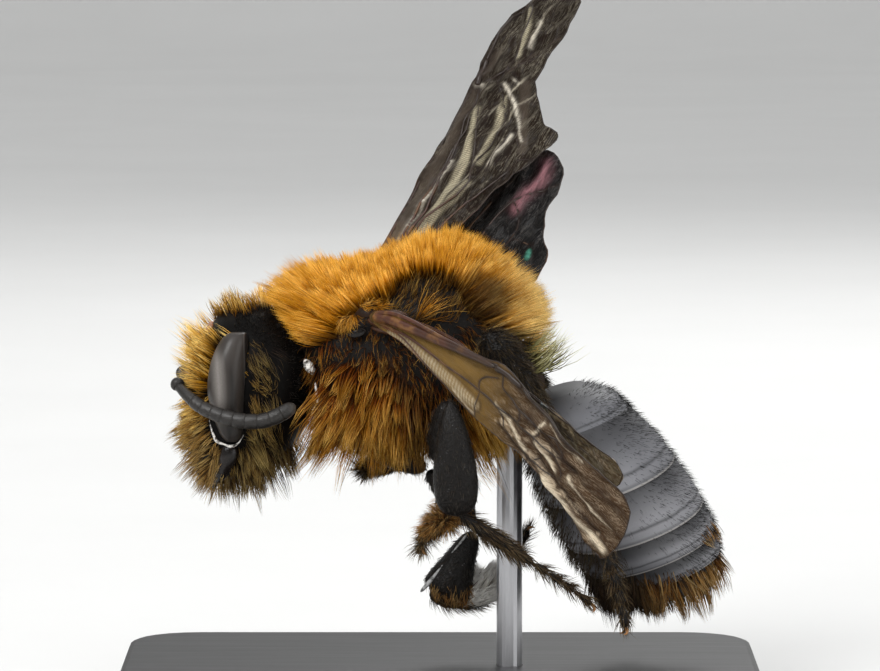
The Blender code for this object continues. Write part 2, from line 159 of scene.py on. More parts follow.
def unit(ways):
    """Ways of length 1."""
    return ways / np.maximum(np.linalg.norm(ways, axis=-1, keepdims=True), 1e-12)


def vectors(x, y, z):
    """Rows of three numbers, each given as one number or as a column of them."""
    return np.column_stack(np.broadcast_arrays(x, y, z))


def ease(low, high, value):
    """0 below low, 1 above high and a smooth step between; low may be the larger."""
    t = np.clip((np.asarray(value, float) - low) / (high - low), 0.0, 1.0)
    return t * t * (3.0 - 2.0 * t)


def bell(gap, reach, sharpness=2):
    """1 where a gap is 0, falling to nearly 0 beyond its reach."""
    return np.exp(-(gap / reach) ** sharpness)


def swelled(waves, power):
    """Sines or cosines raised to a power that keeps their sign, which squares an oval's corners."""
    return np.sign(waves) * np.abs(waves) ** power


def turns(count):
    """Angles once round a ring."""
    return np.linspace(0, 2 * math.pi, count, endpoint=False)


def smooth_rows(rows, per_gap, closed=False):
    """Rows of numbers along a Catmull-Rom curve through the given rows."""
    rows = np.array(rows, float)
    count = len(rows)
    result = []
    for gap in range(count if closed else count - 1):
        around = []
        for step in (-1, 0, 1, 2):
            index = gap + step
            around.append(rows[index % count] if closed else rows[min(max(index, 0), count - 1)])
        before, start, end, after = around
        for part in range(per_gap):
            t = part / per_gap
            result.append(0.5 * (2 * start + (end - before) * t
                                 + (2 * before - 5 * start + 4 * end - after) * t * t
                                 + (3 * start - before - 3 * end + after) * t ** 3))
    if not closed:
        result.append(rows[-1])
    return np.array(result)


def crowded(count):
    """Fractions from 0 to 1 that lie closer together near both ends."""
    return 0.5 - 0.5 * np.cos(np.linspace(0.0, math.pi, count))


def along_curve(rows, places):
    """Rows of the smooth curve through rows, read at fractions of its length."""
    fine = smooth_rows(rows, 16)
    steps = np.linalg.norm(np.diff(fine[:, :3], axis=0), axis=1)
    run = np.concatenate([[0.0], np.cumsum(steps)])
    return np.column_stack([np.interp(np.asarray(places) * run[-1], run, column) for column in fine.T])


def across_levels(rows, count):
    """Rows of the smooth curve through rows, read at crowded places along its first number."""
    fine = smooth_rows(rows, 24)
    fine = fine[np.argsort(fine[:, 0])]
    places = fine[0, 0] + (fine[-1, 0] - fine[0, 0]) * crowded(count)
    return np.column_stack([np.interp(places, fine[:, 0], column) for column in fine.T])


def mirrored(path, sign):
    """A path given for the right side, turned to the side of the sign."""
    return [(x, y * sign, z) for x, y, z in path]


# ---- sheets of rings

class Skin:
    """A grid of rings in millimetres, meshed as shell and used as the ground that hair grows from."""

    def __init__(self, rings):
        self.rings = np.array(rings, float)
        around = np.roll(self.rings, -1, 1) - np.roll(self.rings, 1, 1)
        onward = np.gradient(self.rings, axis=0)
        self.onward = unit(onward)
        normals = unit(np.cross(around, onward))
        outward = self.rings - self.rings.mean(axis=1, keepdims=True)
        self.sign = 1.0 if (normals * outward).sum() > 0 else -1.0
        self.normals = normals * self.sign

    def roots(self, count, rng, chance=None):
        """Random places spread by area, times the chance of hair at each place and outward way."""
        low = self.rings[:-1]
        high = self.rings[1:]
        corners = [low, np.roll(low, -1, 1), high, np.roll(high, -1, 1)]
        area = np.linalg.norm(np.cross(corners[3] - corners[0], corners[2] - corners[1]), axis=-1) / 2
        centres = np.moveaxis(sum(corners) / 4, -1, 0)
        middles = unit(self.normals[:-1] + self.normals[1:])
        weight = area * (chance(*centres, middles) if chance else 1.0)
        weight = weight.ravel() / weight.sum()
        picks = rng.choice(weight.size, size=count, p=weight)
        rows, sides = np.divmod(picks, self.rings.shape[1])
        up = rng.random(count)[:, None]
        over = rng.random(count)[:, None]
        nexts = (sides + 1) % self.rings.shape[1]

        def read(grid):
            lower = grid[rows, sides] * (1 - over) + grid[rows, nexts] * over
            upper = grid[rows + 1, sides] * (1 - over) + grid[rows + 1, nexts] * over
            return lower * (1 - up) + upper * up

        spread = np.column_stack([(sides + over[:, 0]) / self.rings.shape[1],
                                  (rows + up[:, 0]) / (self.rings.shape[0] - 1)])
        return Roots(read(self.rings), unit(read(self.normals)), unit(read(self.onward)), spread)


class Roots:
    """Where hairs grow: place, outward way, way along the ground, and place on the unwrap."""

    def __init__(self, place, out, onward, spread):
        self.place = place
        self.out = out
        self.onward = onward
        self.spread = spread

    def __len__(self):
        return len(self.place)

    def in_cell(self, column, row, cells):
        """The same roots with their unwrap shrunk into one cell of a square of cells."""
        spread = (np.array([column, row]) + 0.05 + 0.9 * self.spread) / cells
        return Roots(self.place, self.out, self.onward, spread)


def merged(groups):
    """Several groups of roots as one."""
    return Roots(*[np.concatenate([getattr(group, field) for group in groups])
                   for field in ("place", "out", "onward", "spread")])


def oval_rings(path, wide, deep, count, sides, up=(0.0, 0.0, 1.0), rounding=10):
    """Rings of an oval limb along a path, wide across it and deep along the up way, with round ends."""
    rows = along_curve([(*point, a, b) for point, a, b in zip(path, wide, deep)], crowded(count))
    centres = rows[:, :3]
    ways = unit(np.gradient(centres, axis=0))
    ups = unit(np.array(up, float) - ways * (ways @ np.array(up, float))[:, None])
    across = np.cross(ways, ups)
    ends = np.sqrt(np.maximum(1.0 - np.abs(1.0 - 2.0 * crowded(count)) ** rounding, 0.02))
    angles = turns(sides)
    return (centres[:, None]
            + across[:, None] * (rows[:, 3] * ends)[:, None, None] * np.cos(angles)[None, :, None]
            + ups[:, None] * (rows[:, 4] * ends)[:, None, None] * np.sin(angles)[None, :, None])


def round_rings(path, radii, count, sides, rounding=10):
    """Rings of a round limb along a path."""
    return oval_rings(path, radii, radii, count, sides, up=(0.31, 0.17, 0.93), rounding=rounding)


def shown(mesh, *finishes):
    """An object of the scene made from a mesh with smooth shading and its finishes."""
    for finish in finishes:
        mesh.materials.append(finish)
    mesh.shade_smooth()
    thing = bpy.data.objects.new(mesh.name, mesh)
    bpy.context.scene.collection.objects.link(thing)
    return thing


def keep_marks(mesh, name, kind, values):
    """Keeps a number, a vector or a colour of each vertex on the mesh."""
    field = {"FLOAT": "value", "FLOAT_VECTOR": "vector", "FLOAT_COLOR": "color"}[kind]
    attribute = mesh.attributes.new(name, kind, "POINT")
    attribute.data.foreach_set(field, np.asarray(values).astype(np.float32).ravel())


class Body:
    """Gathers closed shapes in millimetres and makes one object of them."""

    def __init__(self):
        self.points = []
        self.faces = []
        self.slots = []
        self.total = 0

    def add_rings(self, rings, slot=0):
        """Adds a tube of rings, closed by a face at each end."""
        rings = np.asarray(rings)
        count, sides = rings.shape[:2]
        faces = []
        for row in range(count - 1):
            for side in range(sides):
                following = (side + 1) % sides
                low = row * sides
                faces.append((low + side, low + following, low + sides + following, low + sides + side))
        faces.append(tuple(reversed(range(sides))))
        faces.append(tuple((count - 1) * sides + side for side in range(sides)))
        if Skin(rings).sign > 0:
            faces = [tuple(reversed(face)) for face in faces]
        self.add_mesh(rings.reshape(-1, 3), faces, slot)

    def add_mesh(self, points, faces, slot=0):
        """Adds a closed shape, in one of the piece's finishes."""
        self.points.append(np.asarray(points, float))
        self.faces += [tuple(self.total + index for index in face) for face in faces]
        self.slots += [slot] * len(faces)
        self.total += len(points)

    def build(self, name, *finishes):
        """Makes the object, with all of its faces turned outward."""
        mesh = bpy.data.meshes.new(name)
        mesh.from_pydata((np.concatenate(self.points) * MM).tolist(), [], self.faces)
        mesh.polygons.foreach_set("material_index", self.slots)
        work = bmesh.new()
        work.from_mesh(mesh)
        bmesh.ops.recalc_face_normals(work, faces=work.faces)
        work.to_mesh(mesh)
        work.free()
        return shown(mesh, *finishes)


def place_piece(piece, slot, *nodes):
    """Puts a piece on the one body, with its slot and the solids that it stands for."""
    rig.ride(piece, "root")
    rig.slot(piece, slot)
    if nodes:
        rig.replaces(piece, *nodes)


def make_piece(name, finish, slot, shapes, *nodes):
    """One placed piece of closed ring shapes."""
    body = Body()
    for rings in shapes:
        body.add_rings(rings)
    place_piece(body.build(name, finish), slot, *nodes)


# ---- hair

class Coat:
    """The hair of one part of the body, grown with its own stream of random numbers."""

    def __init__(self, looks, slot, seed):
        self.looks = looks
        self.slot = slot
        self.rng = np.random.default_rng(seed)

    def ruffle(self, roots, amount):
        """A random push for each hair."""
        return amount * self.rng.normal(size=(len(roots), 3))

    def within(self, roots, low, high):
        """A random number for each hair, between two others."""
        return self.rng.uniform(low, high, len(roots))

    def strays(self, roots, share, strength):
        """The strength on a random share of the hairs and 0 on the others."""
        return (self.rng.random(len(roots)) < share) * strength

    def patch(self, name, look, skin, amount, chance, lean, push, ruffle, turn, length, width,
              tone=0.0, dark=0.0, steps=3, **locks):
        """Hair that all lies one way: it leans outward, is pushed, and turns a little by its tip."""
        roots = skin.roots(amount, self.rng, chance)
        rise = roots.out * lean + push + self.ruffle(roots, ruffle)
        self.grow(name, look, roots, rise, rise + turn, length, width, steps, tone, dark, **locks)

    def grow(self, name, look, roots, rise, fall, length, width, steps, tone=0.0, dark=0.0,
             clump=0.0, locks=0, wave=0.0, uneven=0.0, slot=None):
        """Tapered three-sided hairs: each leaves its root along rise and turns toward fall by its tip.

        A pair for length or width is a range to draw from. A pair for tone or dark is the share of
        stray hairs and their strength. clump draws the hairs of each lock together at their tips,
        uneven makes whole locks longer or shorter, and wave bends each hair to one side.
        The attribute "hair" holds the place along the hair, a random number, tone and dark.
        """
        rng, count = self.rng, len(roots)
        length = self.within(roots, *length) if isinstance(length, tuple) else length
        width = self.within(roots, *width) if isinstance(width, tuple) else width
        tone = self.strays(roots, *tone) if isinstance(tone, tuple) else tone
        dark = self.strays(roots, *dark) if isinstance(dark, tuple) else dark
        t = np.linspace(0.0, 1.0, steps + 1)
        rise = unit(rise)
        fall = unit(fall)
        if locks:
            leader = lock_leaders(roots.place, locks, rng)
            length = length * (1.0 - uneven + 2.0 * uneven * rng.random(count)[leader])
        sideways = unit(np.cross(rise, unit(rng.normal(size=(count, 3)))))
        path = (roots.place[:, None] - roots.out[:, None] * ROOT_DEPTH
                + length[:, None, None] * (rise[:, None] * (t - t * t / 2)[None, :, None]
                                           + fall[:, None] * (t * t / 2)[None, :, None]
                                           + sideways[:, None] * wave * np.sin(t * math.pi)[None, :, None]))
        chance = rng.random(count)
        if locks:
            pull = clump * rng.uniform(0.55, 1.0, count)[:, None, None] * t[None, :, None] ** 1.4
            path = path + (path[leader] - path) * pull
            chance = 0.45 * chance + 0.55 * chance[leader]
        points = hair_points(path, sideways, (width / 2)[:, None] * (1.0 - t[:-1]) ** 0.6)
        marks = np.empty((count, steps * 3 + 1, 4))
        marks[:, :, 0] = np.concatenate([np.repeat(t[:-1], 3), [1.0]])
        for channel, value in ((1, chance), (2, tone), (3, dark)):
            marks[:, :, channel] = np.broadcast_to(value, (count,))[:, None]
        patch = np.column_stack([np.tile([0.0, 0.5, 1.0], steps), np.repeat(t[:-1], 3)])
        patch = np.concatenate([patch, [(0.5, 1.0)]])
        spread = roots.spread[:, None] * (1 - TUFT_PATCH) + patch * TUFT_PATCH
        faces = hair_faces(steps)
        per_piece = COAT_LIMIT // len(faces)
        for part in range(math.ceil(count / per_piece)):
            chosen = slice(part * per_piece, (part + 1) * per_piece)
            label = name if count <= per_piece else f"{name}_{part + 1}"
            thing = hair_object(label, self.looks[look], points[chosen], faces, spread[chosen], marks[chosen])
            place_piece(thing, slot or self.slot)


def lock_leaders(places, locks, rng):
    """For every hair, the number of the nearest of some chosen hairs."""
    leaders = rng.choice(len(places), min(locks, len(places)), replace=False)
    tree = kdtree.KDTree(len(leaders))
    for number, leader in enumerate(leaders):
        tree.insert(places[leader], number)
    tree.balance()
    return np.array([leaders[tree.find(place)[1]] for place in places])


def hair_points(path, sideways, radius):
    """Three corners round each place on every path but its last, which is the hair's tip."""
    ways = unit(np.gradient(path, axis=1))
    across = unit(np.cross(ways, sideways[:, None] + 1e-6))
    other = np.cross(ways, across)
    corners = []
    for angle in (0.0, 2 * math.pi / 3, 4 * math.pi / 3):
        corners.append(path[:, :-1] + radius[..., None] * (across[:, :-1] * math.cos(angle)
                                                           + other[:, :-1] * math.sin(angle)))
    corners = np.stack(corners, axis=2).reshape(len(path), -1, 3)
    return np.concatenate([corners, path[:, -1:]], axis=1)


def hair_faces(steps):
    """The three-cornered faces of one hair: its root's end, its sides and its tip."""
    faces = [(0, 2, 1)]
    for low in range(0, (steps - 1) * 3, 3):
        for side in range(3):
            following = (side + 1) % 3
            faces.append((low + side, low + following, low + 3 + following))
            faces.append((low + side, low + 3 + following, low + 3 + side))
    top = (steps - 1) * 3
    faces += [(top + side, top + (side + 1) % 3, top + 3) for side in range(3)]
    return np.array(faces)


def hair_object(name, finish, points, faces, spread, marks):
    """One mesh of many hairs, with its marks and the map that places each hair's patch."""
    count, per_hair = points.shape[:2]
    corners = (faces[None] + (np.arange(count) * per_hair)[:, None, None]).ravel()
    mesh = bpy.data.meshes.new(name)
    mesh.vertices.add(count * per_hair)
    mesh.vertices.foreach_set("co", (points * MM).astype(np.float32).ravel())
    mesh.loops.add(corners.size)
    mesh.loops.foreach_set("vertex_index", corners.astype(np.int32))
    mesh.polygons.add(corners.size // 3)
    mesh.polygons.foreach_set("loop_start", np.arange(0, corners.size, 3, dtype=np.int32))
    mesh.update(calc_edges=True)
    baked = mesh.uv_layers.new(name="OFBake")
    baked.uv.foreach_set("vector", spread.reshape(-1, 2)[corners].astype(np.float32).ravel())
    keep_marks(mesh, "hair", "FLOAT_COLOR", marks)
    return shown(mesh, finish)


# ---- finishes

def operator(operation, swapped=False):
    """A method that adds one Math node for a value and another value or number."""
    def add_node(value, other):
        return value.math(operation, *((other, value) if swapped else (value, other)))

    return add_node


class Value:
    """One socket of a finish, with Python's operators adding its Math nodes."""

    def __init__(self, finish, socket):
        self.finish = finish
        self.socket = socket

    def math(self, operation, *others, clamp=False):
        node = self.finish.tree.nodes.new("ShaderNodeMath")
        node.operation = operation
        node.use_clamp = clamp
        for slot, value in zip(node.inputs, others):
            self.finish.connect(value, slot)
        return Value(self.finish, node.outputs[0])

    __add__ = __radd__ = operator("ADD")
    __sub__ = operator("SUBTRACT")
    __rsub__ = operator("SUBTRACT", swapped=True)
    __mul__ = __rmul__ = operator("MULTIPLY")
    largest = operator("MAXIMUM")

    def clamped(self):
        return self.math("ADD", self, 0.0, clamp=True)

    def size(self):
        return self.math("ABSOLUTE", self)

    def sine(self):
        return self.math("SINE", self)

    def part(self, number):
        """One of the three numbers of a vector."""
        return self.finish.node("SeparateXYZ", None, {0: self}, output=number)

    def step(self, low, high):
        """0 at low, 1 at high and smooth between; low may be the larger."""
        return self.finish.node("MapRange", {"interpolation_type": "SMOOTHSTEP"},
                                {"Value": self, "From Min": low, "From Max": high})


class Finish:
    """A material under construction."""

    def __init__(self, name):
        self.material = bpy.data.materials.new(name)
        self.material.use_nodes = True
        self.tree = self.material.node_tree
        self.shader = self.tree.nodes["Principled BSDF"]
        self.spot = None

    def connect(self, value, slot):
        """Links a value to a socket, or sets the socket's number, vector or colour."""
        if isinstance(value, Value):
            self.tree.links.new(value.socket, slot)
        elif hasattr(slot.default_value, "__len__") and not hasattr(value, "__len__"):
            slot.default_value = [value] * len(slot.default_value)
        elif hasattr(value, "__len__") and len(slot.default_value) == 4 and len(value) == 3:
            slot.default_value = (*value, 1.0)
        else:
            slot.default_value = value

    def node(self, kind, settings=None, sockets=None, output=0):
        """Any node: its settings first, then the values or links of its sockets."""
        node = self.tree.nodes.new("ShaderNode" + kind)
        for key, value in (settings or {}).items():
            if key == "stops":
                self.set_stops(node.color_ramp, value)
            else:
                setattr(node, key, value)
        for key, value in (sockets or {}).items():
            self.connect(value, node.inputs[key])
        return Value(self, node.outputs[output])

    def set_stops(self, ramp, stops):
        while len(ramp.elements) < len(stops):
            ramp.elements.new(0.5)
        for element, (position, colour) in zip(ramp.elements, stops):
            element.position = position
            element.color = (*colour, 1.0)

    def place(self):
        """Where the surface is, in millimetres."""
        if self.spot is None:
            coordinates = self.node("TexCoord", output=3)
            self.spot = self.node("VectorMath", {"operation": "SCALE"},
                                  {0: coordinates, "Scale": 1.0 / MM})
        return self.spot

    def axis(self, number):
        return self.place().part(number)

    def noise(self, scale, detail=3.0, roughness=0.55, stretch=None, spot=None):
        spot = spot or self.place()
        if stretch:
            spot = self.node("VectorMath", {"operation": "MULTIPLY"}, {0: spot, 1: stretch})
        return self.node("TexNoise", None,
                         {"Vector": spot, "Scale": scale, "Detail": detail, "Roughness": roughness})

    def cells(self, scale):
        return self.node("TexVoronoi", None, {"Vector": self.place(), "Scale": scale})

    def mix(self, amount, first, second):
        return self.node("Mix", {"data_type": "RGBA"}, {0: amount, 6: first, 7: second}, output=2)

    def kept(self, name, output):
        """One output of a mesh's kept values: 0 a colour, 1 a vector, 2 a number, 3 a colour's alpha."""
        return self.node("Attribute", {"attribute_name": name}, output=output)

    def mark(self, name, channel=None):
        """A number kept on the mesh, or one channel of four kept there."""
        if channel is None:
            return self.kept(name, 2)
        if channel == 3:
            return self.kept(name, 3)
        return self.node("SeparateColor", None, {0: self.kept(name, 0)}, output=channel)

    def bump(self, height, strength, distance):
        return self.node("Bump", None,
                         {"Height": height, "Strength": strength, "Distance": distance * MM})

    def done(self, **sockets):
        """Sets the shader's sockets, named with underscores for spaces."""
        for key, value in sockets.items():
            self.connect(value, self.shader.inputs[key.replace("_", " ")])
        return self.material


def hair_finish(name, root, middle, tip, second, third, shine=0.42, vary=0.78):
    """Hair that turns from root to tip, toward the second colour by tone and the third by dark; the darker roots are
    partly painted shade deep in the coat, and dark holds painted shade as well as darker stray hairs.
    """
    f = Finish(name)
    along = f.mark("hair", 0)
    chance = f.mark("hair", 1)
    # Colour darkens toward the root, partly as painted shade deep in the coat
    base = f.node("ValToRGB", {"stops": [(0.0, root), (0.45, middle), (1.0, tip)]}, {0: along})
    toned = f.mix(f.mark("hair", 2), base, second)
    darkened = f.mix(f.mark("hair", 3), toned, third)
    varied = f.node("HueSaturation", None,
                    {"Hue": 0.486 + 0.028 * chance, "Saturation": 1.12 - 0.18 * chance,
                     "Value": 0.97 - vary / 2 + vary * chance, "Color": darkened})
    return f.done(Base_Color=varied, Roughness=shine + 0.15 * chance, Specular_IOR_Level=0.12)


def shell_finish(name, deep, light, rough, gloss, grain=30.0, bump=0.25):
    """Black shell with a fine grain and soft brown variation."""
    f = Finish(name)
    cloud = f.noise(1.6, 4.0)
    fine = f.noise(grain, 3.0, 0.7)
    pits = f.cells(grain * 0.8)
    colour = f.mix((cloud * 1.6 - 0.4).clamped(), deep, light)
    relief = f.bump(fine + 0.7 * pits, bump, 0.012)
    return f.done(Base_Color=colour, Roughness=rough + 0.25 * (fine - 0.5), Normal=relief,
                  Specular_IOR_Level=gloss)


def eye_finish():
    """Dark grey-brown facets with a soft upright pale stripe of painted highlight, a dark upright streak of painted
    shade, and a dark rear margin behind a thin pale line.
    """
    f = Finish("eye_facets")
    facets = f.cells(34.0)
    x, z = f.axis(0), f.axis(2)
    cloud = f.noise(1.3, 3.0, stretch=(1.0, 1.0, 0.35))
    fine = f.noise(26.0, 3.0, 0.7)
    bend = x + 0.07 * (z - 9.2) * (z - 9.2) + 0.1 * (cloud - 0.5)
    # Painted shade: a dark upright streak on the facets
    streak = (1.0 - ((bend + 5.74).size() * 8.0).clamped()) * z.step(10.2, 9.6)
    # Painted highlight: a soft pale upright stripe on the facets
    highlight_band = (1.0 - ((bend + 6.1).size() * 4.2).clamped()) * z.step(8.1, 8.8) * z.step(10.6, 10.0)
    line = 1.0 - ((x + 5.395 + 0.02 * (z - 9.2)).size() * 40.0).clamped()
    base = f.mix(cloud, (0.012, 0.01, 0.0085), (0.046, 0.038, 0.033))
    banded = f.mix(highlight_band * (0.4 + 0.6 * fine), base, (0.235, 0.215, 0.198))
    streaked = f.mix(streak * 0.8, banded, (0.008, 0.0065, 0.0055))
    rear = f.mix(x.step(-5.46, -5.36) * 0.85, streaked, (0.008, 0.0065, 0.0055))
    lined = f.mix(line * 0.35, rear, (0.16, 0.15, 0.14))
    relief = f.bump(1.0 - facets, 0.35, 0.006)
    return f.done(Base_Color=lined, Roughness=0.36 + 0.14 * fine, Normal=relief,
                  Specular_IOR_Level=0.26, Coat_Weight=0.08, Coat_Roughness=0.18)


def plate_finish():
    """Grey abdomen plate with a pale thin margin, fine pits, a dark crease of painted shade and a dark ring before the
    margin; painted light makes each plate darker at its front and lighter toward its rear, the lower plates paler and
    their fronts darker.
    """
    f = Finish("abdomen_plate")
    along = f.mark("along")
    pits = f.cells(26.0)
    fine = f.noise(34.0, 3.0, 0.7)
    cloud = f.noise(0.9, 4.0)
    wave = f.noise(1.3, 2.0) * 0.08
    crease = 1.0 - ((along + wave - 0.8).size() * 22.0).clamped()
    rim = (along + 0.08 * wave).step(0.972, 0.994)
    ring = along.step(0.9, 0.96) * along.step(0.985, 0.965)
    # Painted light: each plate is shaded at its front, under the plate before it, and lit toward its rear
    lit = (along + 0.3 * (cloud - 0.5)).step(0.05, 0.72)
    # Painted highlight: the lower plates are painted a paler grey, as a sheen
    paler = f.axis(2).step(8.2, 5.6) * f.axis(2).step(3.9, 4.9)
    grey = f.mix(paler, (0.14, 0.142, 0.156), (0.245, 0.245, 0.262))
    base = f.mix(lit, (0.03, 0.03, 0.034), grey)
    stained = f.mix((fine * cloud * 1.5).clamped() * 0.4, base, (0.026, 0.026, 0.029))
    # Painted shade: the fronts of the lower plates are darkened
    low_front_shade = f.axis(2).step(6.6, 4.2) * along.step(0.66, 0.3)
    shaded = f.mix(low_front_shade * 0.75, stained, (0.012, 0.012, 0.014))
    # Painted shade in the crease; a dark ring lies just before the margin
    creased = f.mix((crease * 0.7 + ring * 0.45).clamped(), shaded, (0.012, 0.012, 0.014))
    margin = f.mix(rim * 0.7, creased, (0.34, 0.32, 0.3))
    height = fine * 0.6 - 0.5 * (1.0 - pits).largest(0.72) - crease * 1.4
    return f.done(Base_Color=margin, Roughness=0.4 + 0.18 * fine + 0.1 * cloud,
                  Normal=f.bump(height, 0.34, 0.014), Specular_IOR_Level=0.55)


def membrane_finish(name, smoke, light, silver, pleat_highlight, cross, wrinkles, ribs, film, solid):
    """Smoky see-through membrane with painted light: silvery painted highlights on fine wrinkles and on fold sides,
    pleats painted pale as highlights, cross-ribbed bands whose pale colour is partly painted highlight, and painted
    shade by veins, in hollows and beside the bands.

    wrinkles holds the fine wrinkles' numbers for each millimetre of span and chord, then their strength;
    ribs holds how close the ribs stand and how deep they are.
    """
    f = Finish(name)
    flat = f.kept("flat", 1)
    amber, ribbed, pale, shade = [f.mark("marks", number) for number in range(4)]
    gleam = f.mark("gleam")
    span, chord = flat.part(0), flat.part(1)
    cloud = f.noise(1.0, 4.0, 0.58, (1.0, 3.2, 1.0), flat)
    grain = f.noise(1.0, 4.0, 0.62, (wrinkles[0], wrinkles[1], 1.0), flat)
    line = 1.0 - ((grain - 0.5).size() * 26.0).clamped()
    patchy = cloud.step(0.4, 0.66)
    rib = (0.5 + 0.5 * (span * ribs[0] + chord * 18.0 + cloud * 9.0).sine()).step(0.2, 0.85)
    base = f.mix(cloud, smoke, light)
    warm = f.mix((amber * (0.8 + 0.35 * cloud)).clamped(), base, (0.27, 0.155, 0.036))
    strip = f.mark("strip")
    smooth = f.mix(strip * (0.4 + 0.5 * cloud), warm, (0.085, 0.066, 0.05))
    # Painted highlight: fine wrinkle lines in the silver colour
    fine = line * (0.25 + 0.75 * patchy) * wrinkles[2] * (1.0 - 0.7 * amber) * (1.0 - 0.6 * strip)
    lined = f.mix(fine, smooth, silver)
    # Painted highlight: silver on the fold sides that face up and forward
    glinting = f.mix((gleam * (1.5 * grain - 0.25 + 0.6 * line)).clamped(), lined, silver)
    # The bands' pale cross-ribbed colour is partly painted highlight on their raised folds
    across = (ribbed * (1.7 * grain - 0.1 + 0.3 * line) * (1.0 - ribs[1] * (1.0 - rib))).clamped()
    crossed = f.mix(across, glinting, cross)
    # Painted highlight: the raised pleats are painted pale
    pleated = f.mix((pale * (1.7 * grain - 0.2 + 0.5 * line)).clamped(), crossed, pleat_highlight)
    # Painted shade: darker by the veins, in hollows and beside the bands
    colour = f.mix((shade * (1.15 - 0.5 * grain)).clamped() * 0.85, pleated, (0.014, 0.008, 0.006))
    height = line * 0.7 + 0.6 * grain + ribbed * rib * 0.9
    clear = solid - 0.3 * amber + 0.3 * (pale + shade)
    return f.done(Base_Color=colour, Roughness=0.24 + 0.24 * grain, Normal=f.bump(height, 0.7, 0.03),
                  Alpha=clear.clamped(), Specular_IOR_Level=0.1, Thin_Film_Thickness=film, Thin_Film_IOR=1.5)


def vein_finish():
    """Black-brown veins with red and amber blotches near the wing's root."""
    f = Finish("wing_vein")
    flat = f.kept("flat", 1)
    near_root = flat.part(0).step(5.2, 0.8)
    cloud = f.noise(3.0, 3.0)
    blotch = f.noise(2.3, 2.0, 0.5).step(0.5, 0.62)
    dark = f.mix(cloud, (0.008, 0.005, 0.004), (0.034, 0.019, 0.011))
    red = f.mix(near_root * cloud * 1.2, dark, (0.095, 0.026, 0.011))
    amber = f.mix(near_root * blotch * 0.5, red, (0.24, 0.115, 0.03))
    return f.done(Base_Color=amber, Roughness=0.3 + 0.2 * cloud, Specular_IOR_Level=0.35,
                  Normal=f.bump(f.noise(18.0), 0.3, 0.01))


def thorax_skin_finish():
    """Black shell that is stained with the coat's colours where hair stands thick."""
    f = Finish("thorax_shell")
    fine = f.noise(18.0, 3.0, 0.7)
    cloud = f.noise(1.2, 3.0)
    bald = f.mark("bare")
    stained = f.mix(cloud, (0.012, 0.006, 0.003), (0.034, 0.014, 0.005))
    black = f.mix(cloud, (0.003, 0.0026, 0.0022), (0.008, 0.006, 0.005))
    colour = f.mix((bald * 1.8).clamped(), stained, black)
    relief = f.bump(fine, 0.4, 0.03)
    return f.done(Base_Color=colour, Roughness=0.62 - 0.15 * bald + 0.3 * (fine - 0.5), Normal=relief,
                  Specular_IOR_Level=0.1)


def leg_finish():
    """Black shell with pits and a few grey specks painted as the glints of its sparkle."""
    f = Finish("leg_shell")
    pits = f.cells(16.0)
    fine = f.noise(22.0, 3.0, 0.7)
    cloud = f.noise(1.5, 3.0)
    colour = f.mix(cloud, (0.004, 0.0035, 0.003), (0.01, 0.008, 0.007))
    # Painted highlight: grey specks for the pitted shell's glints
    speck_glint = (1.0 - f.cells(11.0)).step(0.8, 0.94) * f.noise(2.6, 2.0).step(0.5, 0.66)
    specked = f.mix(speck_glint * 0.8, colour, (0.3, 0.3, 0.31))
    relief = f.bump(0.8 * pits + 0.5 * fine, 0.8, 0.03)
    return f.done(Base_Color=specked, Roughness=0.26 + 0.25 * fine, Normal=relief, Specular_IOR_Level=0.2)


def antenna_finish():
    """Black-brown shell with a dusting of fine pale hair, paler at the tip of the near feeler."""
    f = Finish("antenna_shell")
    fine = f.noise(30.0, 3.0, 0.75)
    cloud = f.noise(2.2, 3.0)
    scales = f.noise(14.0, 3.0, 0.7, stretch=(1.0, 1.0, 3.0))
    colour = f.mix(cloud, (0.007, 0.006, 0.005), (0.024, 0.021, 0.019))
    dusted = f.mix(scales.step(0.5, 0.72) * 0.25, colour, (0.11, 0.1, 0.09))
    tip = f.axis(0).step(-4.2, -3.95)
    paler = f.mix(tip * 0.35, dusted, (0.16, 0.145, 0.13))
    return f.done(Base_Color=paler, Roughness=0.2 + 0.2 * fine, Normal=f.bump(fine + scales, 0.6, 0.012),
                  Specular_IOR_Level=0.34)


def cloudy_finish(name, cloud, deep, light, rough, relief=None, steps=None, **sockets):
    """Two colours mixed by one noise, whose numbers cloud holds, with roughness and relief from it too."""
    f = Finish(name)
    noise = f.noise(*cloud)
    colour = f.mix(noise.step(*steps) if steps else noise, deep, light)
    roughness = rough[0] + rough[1] * noise if rough[1] else rough[0]
    if relief:
        sockets["Normal"] = f.bump(noise, *relief)
    return f.done(Base_Color=colour, Roughness=roughness, **sockets)


def stand_finish():
    """Black acrylic with faint dust."""
    f = Finish("stand_acrylic")
    dust = f.noise(7.0, 5.0, 0.7)
    streak = f.noise(2.0, 4.0, 0.6, stretch=(0.15, 2.0, 1.0))
    colour = f.mix((dust * streak * 1.4).clamped(), (0.006, 0.006, 0.007), (0.014, 0.014, 0.015))
    return f.done(Base_Color=colour, Roughness=0.34 + 0.12 * streak, Specular_IOR_Level=0.35)


# ---- head

# Height, front, rear and half width of the head's skin
HEAD_SHELL = [
    (11.45, -5.75, -4.9, 0.45), (11.25, -6.1, -4.42, 1.1), (10.9, -6.38, -3.98, 1.58),
    (10.4, -6.55, -3.56, 1.9), (9.95, -6.62, -3.44, 2.05), (9.5, -6.66, -3.42, 2.1),
    (9.0, -6.72, -3.48, 2.08), (8.4, -6.82, -3.62, 1.98), (7.9, -6.88, -3.86, 1.8),
    (7.4, -6.82, -4.2, 1.55), (7.0, -6.66, -4.62, 1.25), (6.72, -6.45, -5.15, 0.85),
    (6.58, -6.2, -5.6, 0.35),
]
